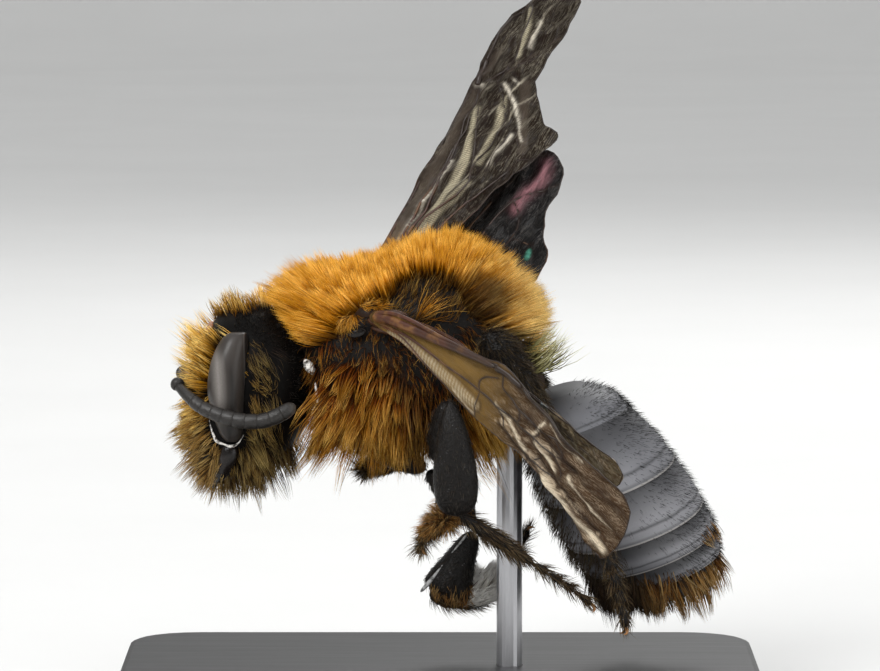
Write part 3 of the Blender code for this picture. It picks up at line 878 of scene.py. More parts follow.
# Height, front, rear and outward reach of the eye's facets
EYE_LEVELS = [
    (10.84, -5.78, -5.4, 0.2), (10.8, -5.9, -5.35, 0.3), (10.62, -6.08, -5.31, 0.42),
    (10.3, -6.25, -5.32, 0.53), (9.9, -6.38, -5.34, 0.6), (9.4, -6.45, -5.37, 0.63),
    (9.0, -6.42, -5.4, 0.62), (8.6, -6.31, -5.43, 0.57), (8.25, -6.2, -5.44, 0.5),
    (7.98, -6.08, -5.48, 0.42), (7.82, -5.94, -5.58, 0.28),
]
EYE_RIM = [
    (-6.4, 1.98, 8.44), (-6.3, 2.14, 8.1), (-6.18, 2.18, 7.86), (-5.97, 2.16, 7.76),
    (-5.78, 2.14, 7.7), (-5.58, 2.12, 7.8), (-5.42, 2.08, 8.04),
]
EYE_RIM_RADII = [0.01, 0.028, 0.05, 0.026, 0.046, 0.02, 0.008]
JAW = [
    (-5.8, 1.62, 7.74), (-5.88, 1.66, 7.34), (-6.06, 1.46, 6.92), (-6.26, 1.02, 6.66),
    (-6.38, 0.48, 6.58),
]
JAW_TOOTH = [(-6.24, 1.02, 6.66), (-6.3, 0.84, 6.48), (-6.32, 0.74, 6.38)]
SCAPE = [(-6.5, 0.5, 8.85), (-6.95, 1.05, 9.15), (-7.28, 1.54, 9.4)]
ANTENNA_KNOB = [(-7.26, 1.56, 9.44), (-7.28, 1.72, 9.38), (-7.24, 1.8, 9.32)]
FLAGELLA = {
    "left": [(-7.28, -1.72, 9.36), (-6.95, -2.12, 9.08), (-6.5, -2.45, 8.78), (-5.74, -2.78, 8.53),
             (-4.98, -2.92, 8.48), (-4.42, -2.88, 8.66), (-4.0, -2.76, 8.92)],
    "right": [(-7.28, 1.72, 9.36), (-7.12, 2.2, 9.22), (-6.92, 2.62, 8.98), (-6.45, 3.05, 8.7),
              (-5.92, 3.28, 8.52), (-5.48, 3.36, 8.56), (-5.12, 3.36, 8.72)],
}
FLAGELLUM_JOINTS = [0.0, 0.2, 0.285, 0.37, 0.455, 0.54, 0.625, 0.71, 0.795, 0.88, 1.0]


def head_rings():
    """The head's skin, with the face's shield raised and a hollow for each feeler's socket."""
    angles = turns(120)
    rings = []
    for level, front, back, half in across_levels(HEAD_SHELL, 90):
        middle, reach = (front + back) / 2, (back - front) / 2
        x = middle + reach * swelled(np.cos(angles), 0.85)
        y = half * swelled(np.sin(angles), 0.92)
        clypeus = bell(y, 0.75) * bell(level - 7.9, 0.75) * (x < middle)
        frons = bell(np.abs(y) - 0.55, 0.22) * bell(level - 8.9, 0.35) * (x < middle)
        rings.append(np.column_stack([x - 0.14 * clypeus + 0.1 * frons, y, np.full_like(x, level)]))
    return np.array(rings)


def make_head(looks):
    """The head's skin with the three simple eyes and the lip, then its paired parts."""
    skin = Skin(head_rings())
    body = Body()
    body.add_rings(skin.rings)
    for _, sign in SIDES:
        body.add_rings(round_rings(mirrored([(-6.34, 0.36, 10.8), (-6.5, 0.42, 10.9)], sign),
                                   [0.14, 0.15], 12, 16, 2), 1)
    body.add_rings(round_rings([(-6.4, 0.0, 10.66), (-6.5, 0.0, 10.7)], [0.15, 0.15], 12, 16, 2), 1)
    body.add_rings(oval_rings([(-6.6, 0.0, 7.15), (-6.7, 0.0, 6.8), (-6.45, 0.0, 6.45)],
                              [0.75, 0.68, 0.45], [0.16, 0.15, 0.1], 14, 24, up=(1.0, 0.0, 0.3)))
    place_piece(body.build("head_shell", looks["head"], looks["ocellus"]), "face_hair", "head")
    for side, sign in SIDES:
        make_piece(f"eye_{side}_facets", looks["eye"], "eyes", [eye_rings(sign)], f"eye_{side}")
        # The eye's lower rim: a thin ridge painted pale as its highlight
        rim = round_rings(mirrored(EYE_RIM, sign), EYE_RIM_RADII, 44, 10)
        make_piece(f"eye_{side}_lower_rim", looks["pale"], "shell", [rim])
        jaw = oval_rings(mirrored(JAW, sign), [0.27, 0.25, 0.2, 0.15, 0.06],
                         [0.2, 0.19, 0.15, 0.11, 0.05], 26, 18, up=(0.0, sign, 0.4))
        tooth = round_rings(mirrored(JAW_TOOTH, sign), [0.12, 0.08, 0.03], 10, 12)
        make_piece(f"jaw_{side}", looks["gloss"], "shell", [jaw, tooth], f"mandible_{side}")
        scape = round_rings(mirrored(SCAPE, sign), [0.1, 0.13, 0.145], 22, 16)
        make_piece(f"antenna_{side}_scape", looks["antenna"], "antennae", [scape],
                   f"antenna_scape_{side}")
        make_piece(f"antenna_{side}_flagellum", looks["antenna"], "antennae",
                   flagellum_rings(side, sign), f"antenna_flagellum_{side}")
    return skin


def eye_rings(sign):
    """The eye's facets, level by level from the top."""
    angles = turns(72)
    rings = []
    for level, front, back, reach in along_curve(EYE_LEVELS, crowded(64)):
        x = (front + back) / 2 + (back - front) / 2 * swelled(np.cos(angles), 0.85)
        y = sign * (EYE_CENTRE[1] + reach * np.sin(angles))
        rings.append(np.column_stack([x, y, np.full_like(x, level)]))
    return rings


def flagellum_rings(side, sign):
    """The feeler's knob and its ringed joints, the last of them with a round tip."""
    shapes = [round_rings(mirrored(ANTENNA_KNOB, sign), [0.17, 0.2, 0.16], 16, 18, 4)]
    for number, (start, end) in enumerate(zip(FLAGELLUM_JOINTS, FLAGELLUM_JOINTS[1:])):
        last = number == len(FLAGELLUM_JOINTS) - 2
        points = along_curve(FLAGELLA[side], np.linspace(start, end if last else end + 0.006, 6))
        if number == 0:
            radii = np.linspace(0.125, 0.182, 6)
        elif last:
            radii = 0.212 * np.sqrt(1.0 - np.linspace(0.0, 0.98, 6) ** 3.2)
        else:
            radii = 0.172 + 0.014 * np.sin(np.linspace(0, math.pi, 6)) ** 0.4 + 0.03 * min(number, 4) / 4
        shapes.append(oval_rings(points, radii, radii, 18, 24, up=(0.2, 0.3, 0.9), rounding=60))
    return shapes


# ---- thorax

# Place, top, bottom and half width of the thorax's skin
THORAX_SHELL = [
    (-4.0, 11.25, 10.2, 0.75), (-3.75, 11.68, 9.3, 1.4), (-3.3, 12.0, 8.3, 1.86),
    (-2.6, 12.14, 7.75, 2.18), (-1.4, 12.42, 7.62, 2.38), (-0.4, 12.8, 7.62, 2.42),
    (0.3, 12.84, 7.64, 2.42), (0.9, 12.58, 7.68, 2.36), (1.4, 12.14, 7.74, 2.26),
    (1.82, 11.55, 7.84, 2.12), (2.12, 10.86, 7.98, 1.92), (2.4, 10.2, 8.15, 1.62),
    (2.68, 9.78, 8.4, 1.25), (2.92, 9.5, 8.7, 0.7),
]
TEGULA = [(-2.34, 2.46, 11.4), (-1.98, 2.6, 11.5), (-1.56, 2.62, 11.44)]
SIDE_PLATE = [(-2.6, 2.26, 10.86), (-2.32, 2.34, 10.88), (-2.04, 2.36, 10.94)]
NECK_LOBE = [(-3.76, 1.6, 10.08), (-3.64, 1.72, 9.9), (-3.48, 1.74, 9.66)]
NECK_STRIP = [(-3.46, 1.66, 9.45), (-3.4, 1.8, 9.0), (-3.24, 1.78, 8.3)]


def thorax_rings():
    """The thorax's skin as upright rings from the neck to the waist."""
    angles = turns(140)
    rings = []
    for place, top, bottom, half in across_levels(THORAX_SHELL, 110):
        y = half * swelled(np.cos(angles), 0.9)
        z = (top + bottom) / 2 + (top - bottom) / 2 * swelled(np.sin(angles), 0.95)
        rings.append(np.column_stack([np.full_like(y, place), y, z]))
    return np.array(rings)


def make_thorax(looks):
    """The thorax's skin, the caps over the wing roots, and the bare plates of its sides and neck."""
    skin = Skin(thorax_rings())
    body = Body()
    body.add_rings(skin.rings)
    shell = body.build("thorax_shell", looks["thorax"])
    keep_marks(shell.data, "bare", "FLOAT", bare_patches(*np.moveaxis(skin.rings, -1, 0)))
    place_piece(shell, "thorax_hair", "thorax")
    for side, sign in SIDES:
        cap = oval_rings(mirrored(TEGULA, sign), [0.12, 0.19, 0.13], [0.05, 0.08, 0.05], 26, 26,
                         up=(0.0, sign, 0.5), rounding=3)
        make_piece(f"tegula_{side}_cap", looks["tegula"], "shell", [cap], f"tegula_{side}")
        plate = oval_rings(mirrored(SIDE_PLATE, sign), [0.1, 0.16, 0.1], [0.07, 0.1, 0.07], 22, 22,
                           up=(0.0, sign, 0.2), rounding=3)
        make_piece(f"side_plate_{side}", looks["gloss"], "shell", [plate])
        # The neck's lobe and strip, painted pale as highlights
        neck = [round_rings(mirrored(NECK_LOBE, sign), [0.07, 0.14, 0.09], 16, 14, 3),
                round_rings(mirrored(NECK_STRIP, sign), [0.03, 0.045, 0.025], 20, 8)]
        make_piece(f"neck_plates_{side}", looks["pale"], "shell", neck)
    return skin


# ---- abdomen

# Centre, half depth and half width of the rims between the abdomen's plates
ABDOMEN_RIMS = [
    (3.3, 0.0, 9.05, 0.6, 0.85), (3.84, 0.07, 8.05, 1.58, 2.09), (4.75, 0.23, 6.54, 1.94, 2.54),
    (5.5, 0.38, 5.26, 1.99, 2.51), (5.94, 0.49, 4.52, 1.9, 2.3), (6.3, 0.56, 3.94, 1.68, 1.92),
    (6.68, 0.64, 3.32, 0.8, 0.9),
]
# How far the rings are tipped in degrees, how far a plate's front is tucked in, and each plate's form
ABDOMEN_TIP = 11.0
TUCK = 0.16
PLATE_SHOULDERS = [1.25, 0.975, 0.965, 0.955, 0.955, 0.95]
PLATE_BULGES = [0.26, 0.07, 0.06, 0.05, 0.05, 0.1]
PLATE_ROWS = 34
PLATE_SIDES = 120
# Inset and shift of the rings that turn a plate's rim inward
RIM_RINGS = [(0.012, 0.018), (0.035, 0.022), (0.07, 0.0), (0.25, -0.05)]


def abdomen_ring(centre, axis, radii):
    """A ring across the abdomen, its plane tipped so that the belly side lies nearer the head."""
    tip = math.radians(ABDOMEN_TIP)
    axis = unit(axis)
    axis = np.array([axis[0] * math.cos(tip) + axis[2] * math.sin(tip), axis[1],
                     axis[2] * math.cos(tip) - axis[0] * math.sin(tip)])
    depth_way = unit(np.array([-axis[2], 0.0, axis[0]]))
    width_way = np.cross(axis, depth_way)
    angles = turns(PLATE_SIDES)
    return (centre + depth_way * (radii[0] * np.cos(angles))[:, None]
            + width_way * (radii[1] * np.sin(angles))[:, None])


def make_abdomen(looks):
    """Overlapping plates: each one's front is tucked under the rim of the plate before it."""
    rims = np.array(ABDOMEN_RIMS)
    axes = unit(np.gradient(rims[:, :3], axis=0))
    places = np.linspace(0.0, 1.0, PLATE_ROWS)
    skins = []
    for index, (shoulder, bulge) in enumerate(zip(PLATE_SHOULDERS, PLATE_BULGES)):
        start, end = rims[index], rims[index + 1]
        rings = []
        for along in places:
            row = start * (1 - along) + end * along
            if index:
                row[:3] -= axes[index] * TUCK * (1 - along) ** 3
            axis = axes[index] * (1 - along) + axes[index + 1] * along
            radii = row[3:] * (shoulder + (1 - shoulder) * min(1.0, along * 1.4) ** 0.8)
            rings.append(abdomen_ring(row[:3], axis, radii + bulge * math.sin(math.pi * along ** 0.9)))
        skins.append(Skin(rings))
        for inset, shift in RIM_RINGS:
            rings.append(abdomen_ring(end[:3] + axes[index + 1] * shift, axes[index + 1], end[3:] - inset))
        body = Body()
        body.add_rings(rings)
        piece = body.build(f"abdomen_plate_{index + 1}", looks["plate"])
        marks = np.concatenate([places, np.ones(len(RIM_RINGS))])
        keep_marks(piece.data, "along", "FLOAT", np.repeat(marks, PLATE_SIDES))
        place_piece(piece, "abdomen_plates" if index < 4 else "tail_fringe", f"abdomen_{index + 1}")
    return skins


# ---- wings

LEFT_FORE_OUTLINE = [
    (0.1, 0.22), (0.98, 0.8), (2.95, 1.38), (4.28, 1.75), (5.0, 2.04), (5.87, 1.93), (6.77, 1.7),
    (8.28, 1.36), (9.6, 1.36), (10.2, 1.18), (10.46, 0.75), (10.38, -0.15), (9.98, -1.05),
    (9.5, -0.97), (8.41, -0.6), (7.35, -0.26), (6.0, -0.22), (4.48, -0.23), (2.94, -0.02),
    (1.47, 0.1), (0.25, -0.14),
]
LEFT_HIND_OUTLINE = [
    (0.8, 0.25), (2.35, 0.83), (4.38, 1.06), (6.42, 1.35), (7.5, 1.36), (8.4, 1.38), (9.07, 1.42),
    (9.39, 0.99), (8.77, 0.22), (7.28, -0.23), (4.83, -0.33), (2.68, -0.2), (1.04, -0.15),
]
RIGHT_FORE_OUTLINE = [
    (-0.1, 0.42), (1.91, 0.66), (4.5, 0.92), (6.82, 1.14), (7.4, 1.26), (8.44, 1.45), (9.3, 1.35),
    (9.9, 1.1), (10.45, 0.63), (10.69, -0.02), (10.4, -0.32), (9.64, -0.42), (8.11, -0.47),
    (7.72, -0.6), (7.15, -1.24), (6.84, -1.54), (6.72, -2.2), (5.73, -1.9), (4.69, -1.49),
    (2.95, -1.11), (0.78, -0.58), (0.0, -0.26),
]
RIGHT_HIND_OUTLINE = [
    (1.3, -0.55), (3.0, -0.38), (4.4, -0.92), (5.6, -1.18), (6.2, -1.6), (6.37, -2.0), (6.06, -2.56),
    (5.46, -2.81), (4.65, -2.94), (4.04, -3.32), (3.7, -3.7), (3.29, -3.83), (2.67, -3.76),
    (2.0, -2.95), (1.2, -1.9),
]
# Vein paths as span and chord, with the radius at root and tip and the height of the fold they ride on
LEFT_FORE_VEINS = [
    ([(0.15, 0.2), (0.98, 0.78), (2.95, 1.34), (4.28, 1.7), (4.85, 1.92)], 0.07, 0.045, 0.08),
    ([(0.15, 0.08), (1.0, 0.55), (2.5, 1.06), (3.5, 1.4), (4.78, 1.8)], 0.165, 0.085, 0.14),
    ([(4.78, 1.8), (5.2, 1.86), (5.8, 1.84)], 0.11, 0.08, 0.1),
    ([(5.8, 1.84), (6.77, 1.64), (8.1, 1.33)], 0.05, 0.03, 0.06),
    ([(0.3, 0.02), (1.39, 0.32), (3.0, 0.46), (4.37, 0.61), (5.11, 0.6), (5.9, 0.62)], 0.05, 0.025, -0.07),
    ([(0.4, -0.05), (1.35, 0.22), (2.94, 0.0), (4.48, -0.2)], 0.035, 0.022, 0.05),
    ([(4.37, 0.61), (4.3, 0.92), (4.52, 1.22), (4.9, 1.45)], 0.03, 0.022, -0.02),
    ([(4.99, 1.7), (5.25, 1.32), (5.88, 1.12), (6.5, 1.1), (7.3, 1.15), (8.1, 1.33)], 0.03, 0.022, 0.04),
    ([(5.9, 0.62), (6.6, 0.66), (7.4, 0.64), (7.75, 0.86), (7.3, 1.15)], 0.025, 0.02, -0.04),
    ([(5.88, 1.12), (6.0, 0.85), (5.9, 0.62)], 0.024, 0.02, 0.0),
    ([(6.5, 1.1), (6.72, 0.88), (6.6, 0.66)], 0.024, 0.02, 0.0),
    ([(4.48, -0.2), (4.42, 0.2), (4.37, 0.61)], 0.024, 0.02, 0.0),
    ([(5.11, 0.6), (5.8, 0.1), (6.7, 0.0), (7.0, 0.3), (6.6, 0.66)], 0.024, 0.02, -0.05),
    ([(6.7, 0.0), (7.6, 0.02), (7.9, 0.34), (7.4, 0.64)], 0.022, 0.018, 0.03),
]
RIGHT_FORE_VEINS = [
    ([(0.0, 0.38), (1.91, 0.6), (4.5, 0.86), (6.8, 1.08)], 0.03, 0.02, 0.06),
    ([(0.1, 0.12), (2.09, 0.27), (4.13, 0.45), (5.8, 0.6), (6.94, 0.94)], 0.045, 0.03, 0.02),
    ([(6.94, 1.0), (7.3, 1.12), (7.75, 1.22)], 0.1, 0.07, 0.08),
    ([(7.75, 1.22), (8.44, 1.38), (9.1, 1.34), (9.84, 1.06)], 0.045, 0.028, 0.04),
    ([(0.2, 0.1), (2.22, 0.18), (3.18, 0.19), (5.07, 0.48), (5.77, 0.71), (6.46, 0.74)], 0.06, 0.03, -0.1),
    ([(0.4, -0.1), (2.48, -0.03), (3.29, -0.31), (4.23, -0.58), (4.58, -0.47), (5.77, 0.15), (6.46, 0.6)],
     0.045, 0.022, 0.08),
    ([(4.58, -0.47), (5.51, -0.44), (6.32, -0.44), (7.0, 0.13), (7.42, 0.67)], 0.03, 0.02, -0.08),
    ([(4.81, -0.81), (5.42, -0.81), (6.25, -0.86), (5.92, -1.28)], 0.028, 0.02, 0.06),
    ([(0.2, -0.24), (2.97, -0.62), (4.11, -1.03), (5.08, -1.35), (5.61, -1.62), (5.79, -1.86)],
     0.045, 0.022, -0.06),
    ([(7.17, 0.9), (7.68, 0.56), (8.29, 0.56), (9.1, 0.72), (9.66, 0.83), (9.84, 1.06)], 0.03, 0.022, 0.06),
    ([(7.71, 0.52), (8.24, 0.09), (8.83, -0.15), (9.41, -0.36)], 0.026, 0.016, -0.05),
]
LEFT_HIND_VEINS = [
    ([(0.85, 0.22), (2.35, 0.78), (4.38, 1.01), (6.42, 1.3), (8.3, 1.34)], 0.05, 0.025, 0.05),
    ([(1.0, 0.05), (2.8, 0.4), (4.8, 0.55), (6.8, 0.85), (8.4, 0.95)], 0.035, 0.018, -0.06),
    ([(4.8, 0.55), (5.4, 0.1), (6.6, -0.12)], 0.025, 0.016, 0.04),
]
RIGHT_HIND_VEINS = [
    ([(1.35, -1.05), (3.78, -1.1), (5.84, -1.56), (6.2, -1.85)], 0.05, 0.025, 0.06),
    ([(1.3, -1.3), (3.0, -1.5), (4.36, -1.68), (5.08, -2.22), (5.61, -2.72)], 0.035, 0.018, -0.08),
    ([(1.3, -1.6), (2.4, -2.0), (3.45, -2.4), (3.72, -3.2)], 0.03, 0.016, 0.07),
    ([(3.45, -2.4), (4.2, -2.3), (4.6, -1.78)], 0.024, 0.018, 0.0),
]
# Raised pleats painted pale as highlights, as a path of span and chord and a width
LEFT_FORE_PLEATS = [
    ([(5.05, 0.66), (5.82, 0.38), (6.45, 0.12)], 0.05),
    ([(6.71, 0.57), (7.28, 0.46), (7.66, 0.29)], 0.05),
    ([(6.55, 0.73), (6.72, 1.05), (6.85, 1.38)], 0.035),
    ([(7.04, 1.45), (7.53, 1.3), (7.77, 1.19), (8.4, 1.18)], 0.03),
    ([(7.4, -0.17), (7.89, -0.36), (8.48, -0.53), (9.24, -0.62), (9.96, -0.7)], 0.09),
    ([(8.1, 0.42), (8.75, 0.21), (9.31, 0.1), (9.95, 0.02)], 0.04),
    ([(3.55, 0.05), (4.2, -0.1), (4.42, -0.13)], 0.035),
]
RIGHT_FORE_PLEATS = [
    ([(0.6, 0.22), (2.26, 0.29), (3.26, 0.32), (4.19, 0.31), (4.63, 0.36)], 0.075),
    ([(5.08, -0.78), (5.63, -0.87), (6.11, -0.91)], 0.07),
    ([(7.36, 0.29), (7.14, -0.1), (6.92, -0.48), (6.72, -0.66)], 0.055),
    ([(6.72, -0.66), (6.5, -0.88), (6.1, -1.28)], 0.035),
    ([(7.63, 0.15), (7.56, -0.12)], 0.035),
    ([(8.66, 0.24), (9.16, 0.38), (9.51, 0.5)], 0.05),
    ([(6.95, 1.02), (7.02, 0.9)], 0.07),
]
LEFT_HIND_PLEATS = [
    ([(2.0, 0.5), (4.0, 0.78), (6.0, 1.08), (8.4, 1.2)], 0.06),
    ([(5.2, 0.8), (6.8, 1.02), (8.8, 1.1)], 0.04),
]
RIGHT_HIND_PLEATS = [
    ([(6.02, -2.02), (5.53, -2.16), (4.92, -2.0), (4.43, -2.0)], 0.19),
]
# Cross-ribbed bands, or shining spots, of each wing, as a path and a half width; their pale colour is partly painted
# highlight on raised folds, with painted shade beside them
LEFT_FORE_BANDS = [
    ([(0.9, 0.1), (1.6, 0.16), (2.6, 0.2), (3.5, 0.18), (4.38, 0.14)], 0.17),
]
RIGHT_FORE_BANDS = [
    ([(1.2, -0.02), (2.78, -0.1), (3.73, -0.16), (4.79, -0.06), (5.63, 0.29), (6.31, 0.57)], 0.15),
    ([(2.0, -0.24), (3.01, -0.3), (3.92, -0.5), (4.31, -0.58)], 0.11),
    ([(4.98, -0.47), (5.74, -0.36), (6.46, -0.18), (7.0, 0.08)], 0.12),
    ([(8.28, 0.4), (8.67, 0.55), (9.12, 0.67), (9.63, 0.89)], 0.09),
]
# Hollows between the folds, darkened with painted shade
LEFT_FORE_HOLLOWS = [
    ([(5.3, 0.2), (5.9, -0.02), (6.6, -0.12)], 0.09),
    ([(7.0, 0.9), (7.5, 0.78), (8.3, 0.72)], 0.11),
    ([(6.9, 0.2), (7.6, 0.05), (8.6, -0.22), (9.6, -0.36)], 0.08),
]
RIGHT_FORE_HOLLOWS = [
    ([(6.8, -0.02), (7.05, 0.16)], 0.1), ([(7.78, 0.18), (7.6, 0.02)], 0.08),
    ([(1.0, 0.1), (2.32, 0.13), (4.4, 0.2), (5.2, 0.34), (6.37, 0.72)], 0.045),
    ([(4.4, -0.32), (5.11, -0.26), (6.07, 0.06), (6.7, 0.3)], 0.065),
    ([(4.7, -0.66), (5.6, -0.62), (6.4, -0.52), (6.9, -0.2)], 0.065),
    ([(5.2, -1.02), (5.8, -1.1), (6.3, -0.94)], 0.07),
    ([(8.2, 0.2), (9.0, 0.12)], 0.11), ([(2.4, -0.76), (4.0, -1.14), (5.3, -1.58)], 0.13),
]
# Smooth brown-grey strips: the front edge, the dark spot on it and one long fold
RIGHT_FORE_STRIPS = [
    ([(0.3, 0.44), (2.5, 0.5), (3.98, 0.62), (5.53, 0.78), (6.67, 0.96)], 0.2),
    ([(7.18, 1.1), (7.66, 1.06), (8.11, 1.08)], 0.16),
    ([(7.71, 0.43), (8.47, 0.1), (9.31, -0.39)], 0.045),
    ([(5.9, -1.45), (6.3, -1.2), (6.9, -0.75), (7.6, -0.35)], 0.16),
]
# Sharp-edged folds of the whole membrane: waves for each millimetre of span and of chord, shift and height
FOLDS = [
    (0.22, 1.7, 0.1, 0.085), (-0.5, 1.25, 0.4, 0.06), (1.05, 0.7, 0.7, 0.045),
    (0.35, 3.3, 0.2, 0.03), (-1.3, 2.3, 0.5, 0.024),
]
# The way that the fold sides which take the painted highlight face
SHEEN_WAY = (-0.5, -0.6, 0.62)
# Spacing of the membrane's mesh, half its thickness, and the radius of its rim
MEMBRANE_SPACING = 0.05
MEMBRANE_HALF = 0.012
WING_RIM = 0.02


class WingPlane:
    """A wing's own frame: span outward from the root, chord toward the leading edge, and out of its face."""

    def __init__(self, placing, offset):
        root, tip, roll = placing
        root = np.array(root)
        self.span = unit(np.array(tip) - root)
        level = unit(np.array([-self.span[2], 0.0, self.span[0]]))
        turned = math.radians(roll)
        self.chord = level * math.cos(turned) + np.cross(self.span, level) * math.sin(turned)
        self.normal = np.cross(self.span, self.chord)
        self.root = root + self.normal * offset

    def at(self, flat, height):
        """Places of points of the plane that are raised out of it."""
        flat = np.asarray(flat, float)
        return (self.root + flat[:, :1] * self.span + flat[:, 1:2] * self.chord
                + np.asarray(height)[:, None] * self.normal)


def gap_to(flat, path):
    """Distance of points of a wing's plane from a smooth path on it."""
    line = smooth_rows(path, 10)[:, :2]
    return np.linalg.norm(np.asarray(flat, float)[:, None] - line[None], axis=2).min(axis=1)


def nearness(flat, paths, sharpness, least=0.0):
    """1 on any of some paths, falling to the least value beyond their half widths."""
    nearest = np.full(len(flat), least)
    for path, wide in paths:
        nearest = np.maximum(nearest, bell(gap_to(flat, path), wide, sharpness))
    return nearest


def crumple(flat):
    """Height of sharp-edged folds: triangle waves run in several ways over a gently bent plane."""
    bent = flat[:, 1] + 0.12 * np.sin(1.7 * flat[:, 0] + 0.8) + 0.05 * np.sin(4.3 * flat[:, 0])
    ahead = flat[:, 0] + 0.15 * np.sin(2.9 * flat[:, 1] + 0.5)
    height = np.zeros(len(flat))
    for along, across, shift, size in FOLDS:
        turn = along * ahead + across * bent + shift
        height += size * (np.abs(2.0 * (turn - np.round(turn))) - 0.5)
    return height


def fold_height(flat, wing):
    """Height of the membrane: drawn to each vein's fold, raised at the pleats, sunk in hollows, crumpled."""
    flat = np.asarray(flat, float)
    height = np.zeros(len(flat))
    weight = np.full(len(flat), 0.35)
    for path, _, _, fold in wing["veins"]:
        pull = bell(gap_to(flat, path), 0.17)
        height += pull * fold
        weight += pull
    height = height / weight
    for kind, lift in (("pleats", 0.6), ("bands", 0.3), ("hollows", -0.5)):
        for path, wide in wing[kind]:
            height += lift * wide * bell(gap_to(flat, path), wide)
    low, high, start, end = wing["crumpled"]
    return height + crumple(flat) * (low + (high - low) * ease(start, end, flat[:, 0]))


def fold_gleam(flat, wing, plane):
    """1 on the sides of folds that face up and forward, which take a painted silvery highlight."""
    step = 0.02
    level = fold_height(flat, wing)
    way = unit(np.array(SHEEN_WAY))
    side = 1.0 if way @ plane.normal > 0 else -1.0
    tilt = np.zeros(len(flat))
    for shift, axis in (((step, 0.0), plane.span), ((0.0, step), plane.chord)):
        tilt -= side * (way @ axis) * (fold_height(flat + np.array(shift), wing) - level) / step
    least, paths = wing["sheen"]
    return ease(*wing["glint"], tilt) * nearness(flat, paths, 4, least)


def wing_marks(flat, wing):
    """Amber near the root, ribbed bands, pleats that are painted pale as highlights, and painted shade by veins, in
    hollows and beside the bands, as four channels.
    """
    amber = ease(wing["amber_end"], wing["amber_end"] * 0.5, flat[:, 0])
    ribbed = nearness(flat, wing["bands"], 4)
    shade = nearness(flat, wing["hollows"], 2)
    veins = [(path, 1.3 * start + end) for path, start, end, _ in wing["veins"]]
    shade = np.maximum(shade, nearness(flat, veins, 2))
    # Painted shade beside the raised bands
    for path, wide in wing["bands"]:
        side = bell(gap_to(flat, path) - 1.25 * wide, 0.3 * wide + 0.02)
        shade = np.maximum(shade, 0.75 * side * (1.0 - ribbed))
    return np.column_stack([amber, ribbed, nearness(flat, wing["pleats"], 2), shade])


def membrane_mesh(outline):
    """Points and faces of a flat sheet of small triangles inside a smooth outline."""
    edge = smooth_rows(outline, 7, closed=True)
    low, high = edge.min(axis=0), edge.max(axis=0)
    spans, chords = np.meshgrid(np.arange(low[0], high[0], MEMBRANE_SPACING),
                                np.arange(low[1], high[1], MEMBRANE_SPACING))
    inner = np.column_stack([spans.ravel(), chords.ravel()])
    gaps = np.linalg.norm(inner[:, None] - edge[None], axis=2).min(axis=1)
    inner = inner[gaps > MEMBRANE_SPACING * 0.6]
    flat = [Vector(point) for point in np.concatenate([edge, inner])]
    borders = [(number, (number + 1) % len(edge)) for number in range(len(edge))]
    result = geometry.delaunay_2d_cdt(flat, borders, [], 1, 1e-6)
    return np.array([tuple(point) for point in result[0]]), [tuple(face) for face in result[2]]


def open_edges(faces):
    """The edges that only one face has, each in that face's own direction."""
    edges = dict.fromkeys(edge for face in faces for edge in zip(face, face[1:] + face[:1]))
    return [edge for edge in edges if edge[::-1] not in edges]


def keep_flat(piece, spots):
    """Keeps each vertex's span and chord on the mesh."""
    keep_marks(piece.data, "flat", "FLOAT_VECTOR", np.column_stack([spots, np.zeros(len(spots))]))


def make_wing(name, wing, looks):
    """The membrane, a thin closed sheet, and the veins with the rim, as two pieces."""
    plane = WingPlane(wing["placing"], wing["offset"])
    flat, faces = membrane_mesh(wing["outline"])
    height = fold_height(flat, wing)
    count = len(flat)
    shell = faces + [tuple(index + count for index in reversed(face)) for face in faces]
    shell += [(b, a, a + count, b + count) for a, b in open_edges(faces)]
    body = Body()
    body.add_mesh(np.concatenate([plane.at(flat, height + MEMBRANE_HALF),
                                  plane.at(flat, height - MEMBRANE_HALF)]), shell)
    membrane = body.build(f"{name}_membrane", looks[f"{name}_membrane"])
    keep_flat(membrane, np.tile(flat, (2, 1)))
    keep_marks(membrane.data, "marks", "FLOAT_COLOR", np.tile(wing_marks(flat, wing), (2, 1)))
    keep_marks(membrane.data, "gleam", "FLOAT", np.tile(fold_gleam(flat, wing, plane), 2))
    keep_marks(membrane.data, "strip", "FLOAT", np.tile(nearness(flat, wing["strips"], 4), 2))
    place_piece(membrane, "wings", name)

    rim = smooth_rows(wing["outline"], 7, closed=True)
    lines = [(smooth_rows(path, 6)[:, :2], start, end, 10) for path, start, end, _ in wing["veins"]]
    lines.append((np.concatenate([rim, rim[:1]]), WING_RIM, WING_RIM, 6))
    body = Body()
    spots = []
    for fine, start, end, sides in lines:
        line = plane.at(fine, fold_height(fine, wing))
        radii = np.linspace(start, end, len(line))
        rings = oval_rings(line, radii, radii * 0.8, len(line), sides, up=plane.normal, rounding=24)
        body.add_rings(rings)
        middle = rings.mean(axis=1) - plane.root
        spots.append(np.repeat(np.column_stack([middle @ plane.span, middle @ plane.chord]), sides, axis=0))
    piece = body.build(f"{name}_veins", looks["vein"])
    keep_flat(piece, np.concatenate(spots))
    place_piece(piece, "wings")


